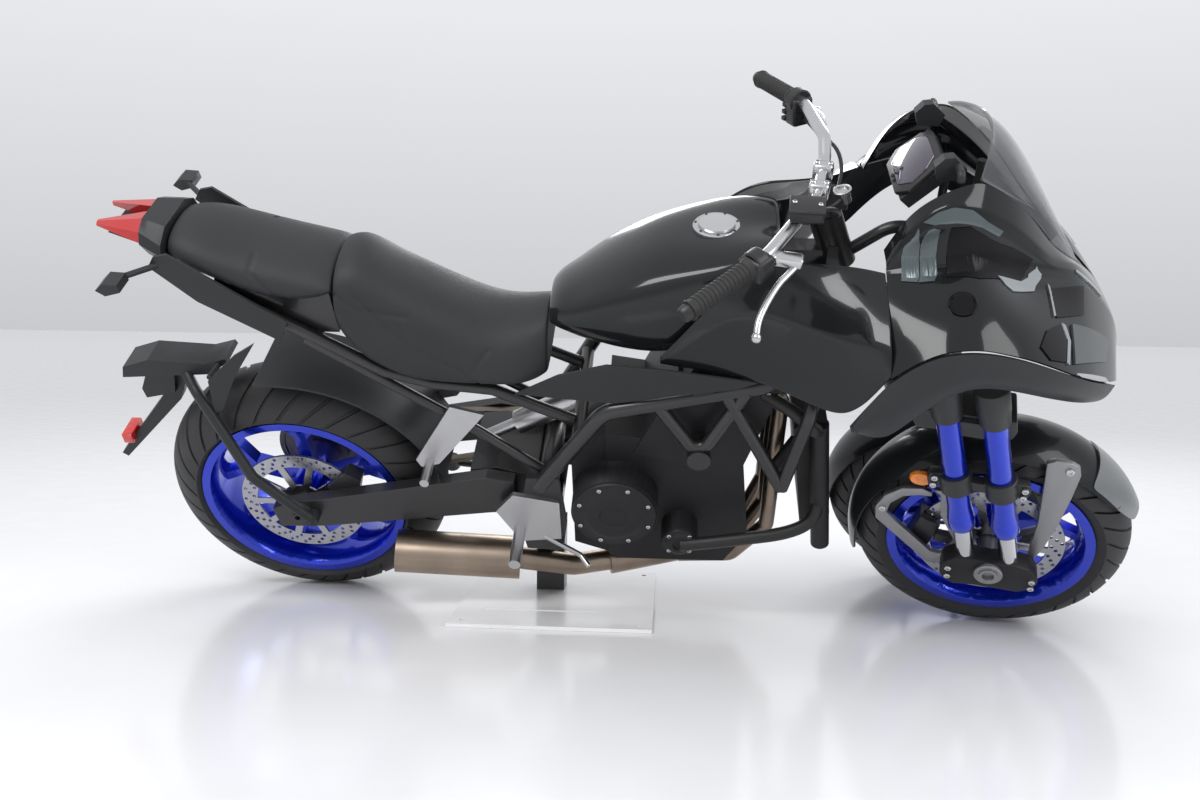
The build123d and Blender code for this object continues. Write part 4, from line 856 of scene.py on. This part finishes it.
# Panels, lenses and trims let into the cowl: thin moulded sheets that follow its surface.
# Each outline is given for the right side and mirrored.
facet_teal = finish("facet_teal", (0.085, 0.108, 0.113), 0.3, metal=0.6, coat=0.6)
facet_dark = finish("facet_dark", (0.006, 0.006, 0.007), 0.3, specular=0.15, grain=0.05)
trim_bright = finish("trim_bright", (0.36, 0.39, 0.40), 0.2, metal=0.9, coat=0.6)
lens_dark = finish("lens_dark", (0.002, 0.002, 0.003), 0.05, coat=0.3, specular=0.08)
lens_clear = finish("lens_clear", (0.40, 0.42, 0.44), 0.06, metal=0.5, coat=1.0)
panel_grey = finish("panel_grey", (0.075, 0.084, 0.088), 0.34, metal=0.4, coat=0.3)
PANELS = [
    # name, look, height above the cowl, outline
    ("lamp_lens", lens_dark, 2.5, [
        (1449, -333, 971), (1469, -289, 976), (1505, -251, 965), (1514, -279, 948), (1503, -328, 936),
        (1466, -345, 952)]),
    ("lamp_rim", trim_bright, 3.5, [
        (1507, -251, 964), (1515, -250, 959), (1522, -279, 944), (1509, -330, 930), (1503, -329, 935),
        (1514, -279, 948)]),
    ("nose_panel", panel_grey, 4.0, [
        (1526, -236, 954), (1608, -187, 894), (1631, -172, 866), (1609, -232, 864), (1518, -318, 927)]),
    ("low_lamp", lens_clear, 3.0, [
        (1516, -328, 920), (1604, -258, 856), (1614, -252, 840), (1526, -334, 903)]),
    ("chevron", trim_bright, 2.0, [
        (1391, -218, 1038), (1418, -230, 1017), (1462, -200, 998), (1487, -160, 999), (1477, -158, 1008),
        (1440, -197, 1012)]),
    ("facet_rear", facet_teal, 2.0, [
        (1228, -209, 1036), (1226, -198, 1080), (1246, -184, 1117), (1258, -200, 1082),
        (1255, -218, 1040)]),
    ("facet_mid", facet_teal, 3.0, [
        (1258, -219, 1040), (1261, -201, 1082), (1270, -199, 1120), (1290, -202, 1112),
        (1284, -222, 1044)]),
    ("facet_top", facet_teal, 3.0, [
        (1248, -182, 1121), (1270, -186, 1142), (1300, -183, 1150), (1336, -184, 1146), (1370, -184, 1123),
        (1402, -172, 1098), (1392, -182, 1088), (1356, -196, 1112), (1310, -200, 1126),
        (1270, -199, 1124)]),
    ("facet_flat", facet_dark, 1.5, [
        (1290, -221, 1046), (1296, -201, 1110), (1330, -201, 1112), (1384, -186, 1078), (1430, -166, 1050),
        (1470, -150, 1022), (1436, -190, 1016), (1392, -212, 1040), (1352, -229, 1051)]),
    ("nose_inset", lens_dark, 2.0, [
        (1500, -176, 986), (1580, -126, 957), (1566, -194, 938), (1498, -244, 970)]),
    ("inset_edge", trim_bright, 3.5, [
        (1496, -172, 988), (1500, -176, 986), (1498, -244, 970), (1493, -248, 972)]),
    ("nose_edge", trim_bright, 3.0, [
        (1564, -98, 977), (1600, -92, 946), (1630, -86, 912), (1626, -96, 913), (1596, -104, 946),
        (1562, -106, 977)]),
]


# How far a sheet starts out from the cowl, so that it settles on the outer side, and its thickness
CLEAR = 22
SHEET_THICK = 1.6


def let_in(name, outline, target, lift):
    """A thin sheet with this outline, pressed onto the target's surface and mirrored."""
    bpy.ops.mesh.primitive_circle_add(vertices=len(outline), radius=1, fill_type="NGON", location=(0, 0, 0))
    sheet = bpy.context.object
    sheet.name = name
    middle = sum((Vector(place) for place in outline), Vector()) / len(outline)
    out = Vector()
    for place, after in zip(outline, outline[1:] + outline[:1]):
        out += (Vector(place) - middle).cross(Vector(after) - middle)
    out = out.normalized() * (CLEAR if out.z > 0 else -CLEAR)
    for vertex, place in zip(sheet.data.vertices, outline):
        vertex.co = stance @ ((Vector(place) + out) * MM)
    apply_modifier(sheet, "TRIANGULATE")
    apply_modifier(sheet, "SUBSURF", subdivision_type="SIMPLE", levels=4, render_levels=4)
    apply_modifier(sheet, "SHRINKWRAP", target=target, offset=lift * MM, wrap_mode="OUTSIDE_SURFACE")
    sheet.data.transform(stance.inverted())
    facing = sum(face.normal.z * face.area for face in sheet.data.polygons)
    apply_modifier(sheet, "SOLIDIFY", thickness=(lift + SHEET_THICK) * MM, offset=-1 if facing > 0 else 1)
    other = sheet.copy()
    other.data = sheet.data.copy()
    bpy.context.scene.collection.objects.link(other)
    other.data.transform(Matrix.Scale(-1, 4, (0, 1, 0)))
    sheet = join(name, [sheet, other])
    right_way_out(sheet)
    shade_by_angle(sheet, 50)
    return sheet


for panel_name, look, lift, outline in PANELS:
    ride_piece(let_in(panel_name, outline, cowl, lift), "chassis", look)
for side in (RIGHT, LEFT):
    seat = Vector((1320.6, side * 294.5, 1029))
    out = Vector((-0.15, side * 0.36, 0.92)).normalized()
    disc = turned("bare_roundel", seat, seat + out * 8, [
        (0, 0), (0, 24), (4.5, 24), (6, 22.5), (6, 20), (4, 18.5), (4, 0)], 40)
    ride_piece(disc, "chassis", lens_dark)

# Side fairings: glossy panels that sweep back from the cowl over the tank's flank, pinched along a crease
FLANK_ROWS = [
    (815, 164, 812, 166, 806, 167, 803, 167, 800, 166, 797),
    (848, 172, 858, 175, 846, 176, 832, 175, 812, 171, 794),
    (880, 176, 905, 180, 884, 181, 860, 180, 822, 175, 792),
    (935, 170, 966, 183, 946, 190, 926, 188, 850, 183, 789),
    (1000, 154, 1018, 182, 978, 206, 944, 206, 860, 202, 787),
    (1062, 154, 1020, 194, 974, 228, 934, 236, 856, 236, 780),
    (1106, 160, 1021, 214, 980, 258, 938, 274, 862, 280, 788),
    (1150, 168, 1022, 236, 990, 294, 948, 312, 880, 322, 802),
    (1180, 182, 1025, 262, 998, 322, 966, 344, 918, 352, 866),
    (1206.5, 197, 1027, 288, 996, 336, 966, 354, 945, 363, 929),
]
flank = lay_rows("side_fairing_skin", FLANK_ROWS)
crease(flank, "across", {2}, 0.5)
smooth(flank, 3)
thicken(flank, 0.004, Y_AXIS)
apply_modifier(flank, "BEVEL", width=0.0012, segments=2, limit_method="ANGLE")
mirror_across(flank)
shade_by_angle(flank, 35)
ride_piece(flank, "chassis", gloss_paint, ["side_fairings"])

# Windscreen: smoked clear acrylic, one blown sheet
SCREEN_ROWS = [(1350, 155, 1187, 122, 1204, 60, 1222, 1230), (1385, 146, 1164, 116, 1196, 56, 1214, 1221),
               (1425, 128, 1132, 104, 1182, 50, 1200, 1206), (1480, 101, 1073, 82, 1116, 42, 1130, 1134),
               (1519, 87, 1023, 68, 1058, 36, 1069, 1072), (1560, 59, 985, 47, 1000, 28, 1005, 1007),
               (1592, 30, 953, 22, 956, 12, 958, 959)]


def screen_point(i, j):
    """Across the screen from the left edge to the right edge."""
    x, edge_w, edge_z, mid_w, mid_z, top_w, top_z, crown_z = SCREEN_ROWS[j]
    half = [(edge_w, edge_z), (mid_w, mid_z), (top_w, top_z), (0, crown_z)]
    w, z = half[i] if i < 4 else half[6 - i]
    back = (0, 14, 34, 42)[3 - abs(3 - i)] if j == 0 else 0
    return (x + back, w if i < 4 else -w, z)


smoke = finish("smoke_acrylic", (0.06, 0.062, 0.068), 0.04, coat=1.0, shade=0.02, smudge=0.01, alpha=0.5)
screen = lay_grid("screen_skin", 6, len(SCREEN_ROWS) - 1, screen_point)
smooth(screen, 3)
thicken(screen, 0.0035, Z_AXIS)
shade_by_angle(screen, 50)
ride_piece(screen, "chassis", smoke, ["windscreen"])

# Side panels under the tank, headlights, instruments and mirrors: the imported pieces, in moulded plastic
dress_nodes(matte_panel, "side_panels", "dash", "mirrors", "hugger", "plate_holder", "tail_cowl",
            "grab_rails")
dress_nodes(finish("lamp_black", (0.02, 0.021, 0.024), 0.1, coat=1.0), "headlights")
dress_nodes(finish("lamp_red", (0.42, 0.010, 0.010), 0.12, coat=1.0), "tail_lights")
dress_nodes(finish("cap_alloy", (0.62, 0.62, 0.63), 0.25, metal=1.0), "fuel_cap")
break_edges(0.004, "tail_cowl", "plate_holder", "grab_rails", "side_panels")

# Handlebar and controls: a bent alloy bar in two clamps, ribbed rubber grips, moulded switch blocks,
# forged levers, and a cast brake reservoir with its hose. All of it turns with the forks.
bar_head = Matrix.Translation((1.106, 0, 1.068))
bar_place = stance @ bar_head @ Matrix.Rotation(-STEER, 4, steer_axis) @ bar_head.inverted()
BAR_X = 1106
BAR_Z = 1103
BAR_R = 12
BAR_RUN = [(937, 405, 1085), (1045, 262, 1112), (1098, 118, 1125), (BAR_X, 66, BAR_Z), (BAR_X, 0, BAR_Z)]
BEND = 34
bar_alloy = finish("bar_alloy", (0.58, 0.58, 0.59), 0.24, metal=1.0, grain=0.03)
grip_rubber = finish("grip_rubber", (0.018, 0.018, 0.018), 0.65, grain=0.3, grain_size=900)
switch_black = finish("switch_black", (0.014, 0.014, 0.015), 0.42, grain=0.15, grain_size=900)


def hose(name, points, radius):
    """A round bar, cable or hose along a smooth line near these points."""
    data = bpy.data.curves.new(name, "CURVE")
    data.dimensions = "3D"
    data.bevel_depth = radius * MM
    data.bevel_resolution = 4
    data.use_fill_caps = True
    data.resolution_u = 6
    line = data.splines.new("NURBS")
    line.points.add(len(points) - 1)
    for knot, point in zip(line.points, points):
        knot.co = (point[0] * MM, point[1] * MM, point[2] * MM, 1)
    line.order_u = 3
    line.use_endpoint_u = True
    obj = bpy.data.objects.new(name, data)
    bpy.context.scene.collection.objects.link(obj)
    only(obj)
    bpy.ops.object.convert(target="MESH")
    obj = bpy.context.object
    right_way_out(obj, merge=FINE_MERGE)
    shade_by_angle(obj, 50)
    return obj


def block(name, centre, size, along, bevel):
    """A moulded block with rounded edges, its length along the direction given."""
    bpy.ops.mesh.primitive_cube_add(size=1, location=(0, 0, 0))
    obj = bpy.context.object
    obj.name = name
    length = Vector(along).normalized()
    width = Vector((0, 0, 1)).cross(length).normalized()
    height = length.cross(width)
    for vertex in obj.data.vertices:
        local = vertex.co
        vertex.co = (Vector(centre) + length * local.x * size[0] + width * local.y * size[1]
                     + height * local.z * size[2]) * MM
    apply_modifier(obj, "BEVEL", width=bevel * MM, segments=3)
    shade_by_angle(obj, 35)
    return obj


half_run = [Vector(BAR_RUN[0])]
for before, corner, after in zip(BAR_RUN, BAR_RUN[1:], BAR_RUN[2:]):
    corner = Vector(corner)
    back = Vector(before) - corner
    on = Vector(after) - corner
    half_run.append(corner + back.normalized() * min(BEND, 0.45 * back.length))
    half_run.append(corner)
    half_run.append(corner + on.normalized() * min(BEND, 0.45 * on.length))
full_run = [tuple(p) for p in half_run] + [(p.x, -p.y, p.z) for p in reversed(half_run)]
BAR_LOOKS = {"bar_tube": (bar_alloy, "alloy"), "grips": (grip_rubber, "grip_rubber"),
             "switch_gear": (switch_black, "grip_rubber"), "levers": (bar_alloy, "alloy"),
             "bar_screws": (screw_zinc, "alloy")}
made = {name: [] for name in BAR_LOOKS}
made["bar_tube"].append(hose("bar_tube", full_run, BAR_R))
GRIP_R = 17.6
GROOVE_R = 16.2
RIBS = 14
RIB_PITCH = 8.4
CLAMP_Y = 34
BAR_END = [(0, 0), (0, 15), (12, 14), (16, 11), (16, 0)]
COLLAR = [(14, 12), (14, 22), (17, 25), (36, 25), (39, 22), (39, 12)]
RISER = [(0, 0), (0, 15), (26, 15), (26, 0)]
# How far each switch block hangs below the bar, and its height: the left one is the taller
SWITCH_BLOCK = {RIGHT: (6, 44), LEFT: (20, 58)}
gear = made["switch_gear"]
for side in (RIGHT, LEFT):
    end, inner_end = (Vector((x, side * y, z)) for x, y, z in BAR_RUN[:2])
    run = (end - inner_end).normalized()
    reach = (end - inner_end).length
    ribs = [(44, 12), (44, 20), (48, 20)]
    for rib in range(RIBS):
        start = 52 + rib * RIB_PITCH
        ribs += [(start, GRIP_R), (start + 4, GRIP_R), (start + 5, GROOVE_R), (start + 7, GROOVE_R)]
    ribs += [(reach - 6, GRIP_R), (reach - 4, 19), (reach - 1, 19), (reach, 12)]
    made["grips"].append(turned("grip", inner_end, end, ribs, 28))
    gear.append(turned("bar_end", end, end + run * 20, BAR_END, 28))
    gear.append(turned("collar", inner_end, end, COLLAR, 28))
    drop, tall = SWITCH_BLOCK[side]
    gear.append(block("switch_block", inner_end + run * 26 + Vector((2, 0, -drop)), (40, 46, tall), run, 7))
    for step in range(3):
        spot = inner_end + run * 28 + Vector((-24, 0, 8 - drop - step * 15))
        gear.append(block("button", spot, (13, 10, 9), run, 2))
    gear.append(turned("riser", (BAR_X, side * CLAMP_Y, 1066), (BAR_X, side * CLAMP_Y, 1092), RISER, 28))
    made["levers"].append(block("bar_clamp", (BAR_X, side * CLAMP_Y, BAR_Z), (38, 26, 34), (1, 0, 0), 7))
    for screw_x in (1094, 1118):
        made["bar_screws"].append(cap_screw((screw_x, side * CLAMP_Y, 1118), (0, 0, 1), 5.5, 5))
for screw_x in (1074, 1118):
    made["bar_screws"].append(cap_screw((screw_x, -164, 1156), (0, 0, 1), 4.5, 4))
# Blocks: piece, name, centre, size, direction, bevel
for piece, *rest in (
        ("levers", "lever_perch_right", (1078, -256, 1102), (52, 26, 20), (0.9, 0.1, -0.1), 5),
        ("levers", "lever_perch_left", (1072, 256, 1082), (46, 24, 22), (0.6, 0, -0.75), 5),
        ("switch_gear", "ignition_arm", (1130, 0, 1058), (60, 24, 14), (1, 0, 0), 4),
        ("switch_gear", "reservoir", (1096, -164, 1141), (58, 48, 22), (0.99, 0.1, 0), 5),
        ("switch_gear", "reservoir_lid", (1096, -164, 1154), (62, 52, 6), (0.99, 0.1, 0), 2.5),
        ("switch_gear", "reservoir_foot", (1090, -160, 1126), (26, 26, 18), (1, 0, 0), 4)):
    made[piece].append(block(*rest))
# Levers, hose and cables: piece, name, line, radius
for piece, *rest in (
        ("levers", "brake_lever", [(1095, -255, 1093), (1084, -276, 1088), (1069, -300, 1081),
                                   (1054, -348, 1068), (1047, -378, 1053), (1049, -393, 1041)], 6.5),
        ("levers", "clutch_lever", [(1078, 256, 1064), (1082, 282, 1062), (1078, 318, 1058),
                                    (1066, 356, 1046), (1063, 378, 1037)], 6),
        ("switch_gear", "brake_hose", [(1112, -150, 1134), (1136, -128, 1130), (1150, -96, 1098),
                                       (1140, -50, 1060), (1126, -20, 1052)], 4.5),
        ("switch_gear", "clutch_cable", [(1080, 248, 1066), (1096, 226, 1062), (1128, 168, 1068),
                                         (1142, 90, 1056), (1132, 24, 1050)], 4),
        ("switch_gear", "switch_cable", [(1046, 262, 1080), (1066, 236, 1078), (1100, 150, 1092),
                                         (1122, 70, 1070), (1122, 24, 1056)], 3.5)):
    made[piece].append(hose(*rest))
# Turned parts: piece, name, start, end, profile, segments
for piece, *rest in (
        ("levers", "brake_lever_ball", (1049, -388, 1045), (1049, -402, 1033),
         [(0, 0), (1, 5), (4, 8), (9, 9.5), (14, 8), (17, 5), (18, 0)], 20),
        ("levers", "clutch_lever_ball", (1064, 374, 1039), (1063, 388, 1032),
         [(0, 0), (1, 5), (4, 8), (8, 9), (12, 8), (15, 5), (16, 0)], 20),
        ("levers", "ignition_ring", (1151, 0, 1063), (1146, 0, 1084),
         [(0, 0), (0, 15), (19, 15), (22, 18), (26, 18), (27, 16), (26, 13), (22, 12), (22, 0)], 32),
        ("switch_gear", "top_yoke", (1114, 0, 1045), (1106, 0, 1067),
         [(0, 0), (0, 44), (3, 47), (20, 47), (23, 44), (23, 0)], 40),
        ("switch_gear", "stem_column", (1159.7, 0, 920.5), (1114, 0, 1046),
         [(0, 0), (0, 17), (133, 17), (133, 0)], 32)):
    made[piece].append(turned(*rest))
ride_parts(made, BAR_LOOKS, "handlebar", ["handlebar", "controls"], bar_place)

# Instrument panel: a moulded bezel round a tinted glass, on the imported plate, with two buttons
glass_violet = finish("glass_violet", (0.055, 0.045, 0.070), 0.06, metal=0.3, coat=1.0)
panel_plane = Matrix(((0, -0.7071, 0.7071, 1.238), (1, 0, 0, 0), (0, 0.7071, 0.7071, 1.104), (0, 0, 0, 1)))


def dial_outline(half, low, high):
    """The eight-cornered outline of the display, as (across, up) points."""
    return [(-half, low + 26), (-half + 8, high - 22), (-half + 30, high), (half - 30, high),
            (half - 8, high - 22), (half, low + 26), (half - 26, low), (-half + 26, low)]


bezel = cut_plate("dial_bezel", dial_outline(80, -4, 99), -2, 8, 4)
glass = cut_plate("dial_glass", dial_outline(68, 8, 88), 6, 10.5, 2)
buttons = join("dial_buttons", [
    cut_plate("button", [(x - 5, 0.5), (x + 5, 0.5), (x + 5, 6), (x - 5, 6)], 7, 11, 1) for x in (-16, 0)])
for piece, look, slot in ((bezel, switch_black, "panel_matte"), (glass, glass_violet, "lamp_black"),
                          (buttons, grip_rubber, "panel_matte")):
    piece.data.transform(panel_plane)
    ride_piece(piece, "chassis", look)
break_edges(0.008, "mirrors")

# Fuel cap: a brushed alloy ring on the tank with seven socket screws round the hinged cap
CAP_X = 918
CAP_SCREWS = 7
CAP_SCREW_R = 41
cap_ring = turned("cap_ring", (CAP_X, 0, 1000), (CAP_X, 0, 1010), [
    (0, 35.5), (0, 46), (5.5, 46), (8, 44), (8, 37), (7, 35.5)], 56)
ride_piece(cap_ring, "chassis", bar_alloy)
cap_screws = []
for turn in range(CAP_SCREWS):
    angle = 2 * math.pi * (turn + 0.3) / CAP_SCREWS
    spot = (CAP_X + CAP_SCREW_R * math.cos(angle), CAP_SCREW_R * math.sin(angle), 1007.5)
    cap_screws.append(cap_screw(spot, (0, 0, 1), 2.6, 2.2))
ride_piece(join("cap_screws", cap_screws), "chassis", switch_black)

# Engine covers, screws and coolant hoses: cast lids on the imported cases, with their socket screws.
# Each row gives a lid's centre, the way it faces, its radius, its rim's radius and its screws.
LIDS = [
    ((721, -197, 420), -1, 90, 78, 8),
    ((860, -186, 330), -1, 39, 31, 4),
    ((880, 199, 400), 1, 87, 75, 8),
    ((700, 159, 390), 1, 68, 58, 5),
]
# Screws on both sides of the cylinder heads, and how far out they stand
HEAD_SCREWS = ((868, 736), (931, 746), (996, 746), (876, 784), (956, 780), (1030, 706))
HEAD_HALF = 140
lid_screws = []
for number, (centre, facing, radius, screw_r, count) in enumerate(LIDS):
    x, y, z = centre
    lid = turned(f"engine_lid_{number + 1}", centre, (x, y + facing, z), [
        (0, 0), (0, radius), (5, radius), (8, radius - 2), (10, radius * 0.76), (15, radius * 0.66),
        (16, radius * 0.6), (16, radius * 0.36), (13, radius * 0.32), (13, 0)], 56)
    ride_piece(lid, "chassis", cast_black)
    for turn in range(count):
        angle = 2 * math.pi * (turn + 0.5) / count
        spot = (x + screw_r * math.cos(angle), y + facing * 7, z + screw_r * math.sin(angle))
        lid_screws.append(cap_screw(spot, (0, facing, 0), 5, 5))
for x, z in HEAD_SCREWS:
    for facing in (-1, 1):
        lid_screws.append(cap_screw((x, facing * HEAD_HALF, z), (0, facing, 0), 5, 5))
ride_piece(join("engine_screws", lid_screws), "chassis", screw_zinc)
hose_rubber = finish("hose_rubber", (0.013, 0.013, 0.013), 0.5, grain=0.1, grain_size=900)
coolant = [hose("hose", line, 14) for line in (
    [(1152, -150, 430), (1150, -176, 400), (1096, -196, 372), (980, -200, 352), (900, -198, 334),
     (862, -200, 331)],
    [(1136, -150, 620), (1126, -178, 640), (1096, -172, 672), (1050, -146, 690), (1020, -132, 700)])]
ride_piece(join("coolant_hoses", coolant), "chassis", hose_rubber)

# Rear reflector: a red moulded block under the plate bracket
reflector_red = finish("reflector_red", (0.55, 0.012, 0.010), 0.14, coat=1.0, shade=0.3, shade_size=120)
ride_piece(block("rear_reflector", (-399, 0, 452), (24, 62, 26), (1, 0, 0), 2), "chassis", reflector_red)

# Light: a pale hall with soft boxes above. The background is pale for the camera and in reflections.
HALL_SHADES = ((0.42, (0.62, 0.63, 0.65, 1)), (0.75, (0.96, 0.97, 1.0, 1)))
HALL_STRENGTH = 0.85
world = bpy.data.worlds.new("hall")
bpy.context.scene.world = world
world.use_nodes = True
hall = world.node_tree
back = hall.nodes["Background"]
sky = hall.nodes.new("ShaderNodeTexGradient")
turn = hall.nodes.new("ShaderNodeMapping")
spot = hall.nodes.new("ShaderNodeTexCoord")
ramp = hall.nodes.new("ShaderNodeValToRGB")
turn.inputs["Rotation"].default_value = (0, math.radians(90), 0)
turn.inputs["Location"].default_value = (0.5, 0, 0)
for element, (position, color) in zip(ramp.color_ramp.elements, HALL_SHADES):
    element.position = position
    element.color = color
hall.links.new(spot.outputs["Generated"], turn.inputs["Vector"])
hall.links.new(turn.outputs["Vector"], sky.inputs["Vector"])
hall.links.new(sky.outputs["Fac"], ramp.inputs["Fac"])
hall.links.new(ramp.outputs["Color"], back.inputs["Color"])
back.inputs["Strength"].default_value = HALL_STRENGTH


def area_light(name, place, target, width, height, power):
    """A soft box that looks at a target."""
    bpy.ops.object.light_add(type="AREA", location=place)
    lamp = bpy.context.object
    lamp.name = name
    lamp.data.shape = "RECTANGLE"
    lamp.data.size = width
    lamp.data.size_y = height
    lamp.data.energy = power
    lamp.rotation_euler = (Vector(target) - Vector(place)).to_track_quat("-Z", "Y").to_euler()


area_light("key", (-1.6, -2.6, 3.4), (0, 0, 0.6), 2.4, 1.2, 90)
area_light("fill", (2.8, -2.2, 2.2), (0.4, 0, 0.6), 1.6, 1.6, 40)
area_light("rim_light", (0.5, 3.2, 2.8), (0, 0, 0.7), 3.2, 1.0, 70)
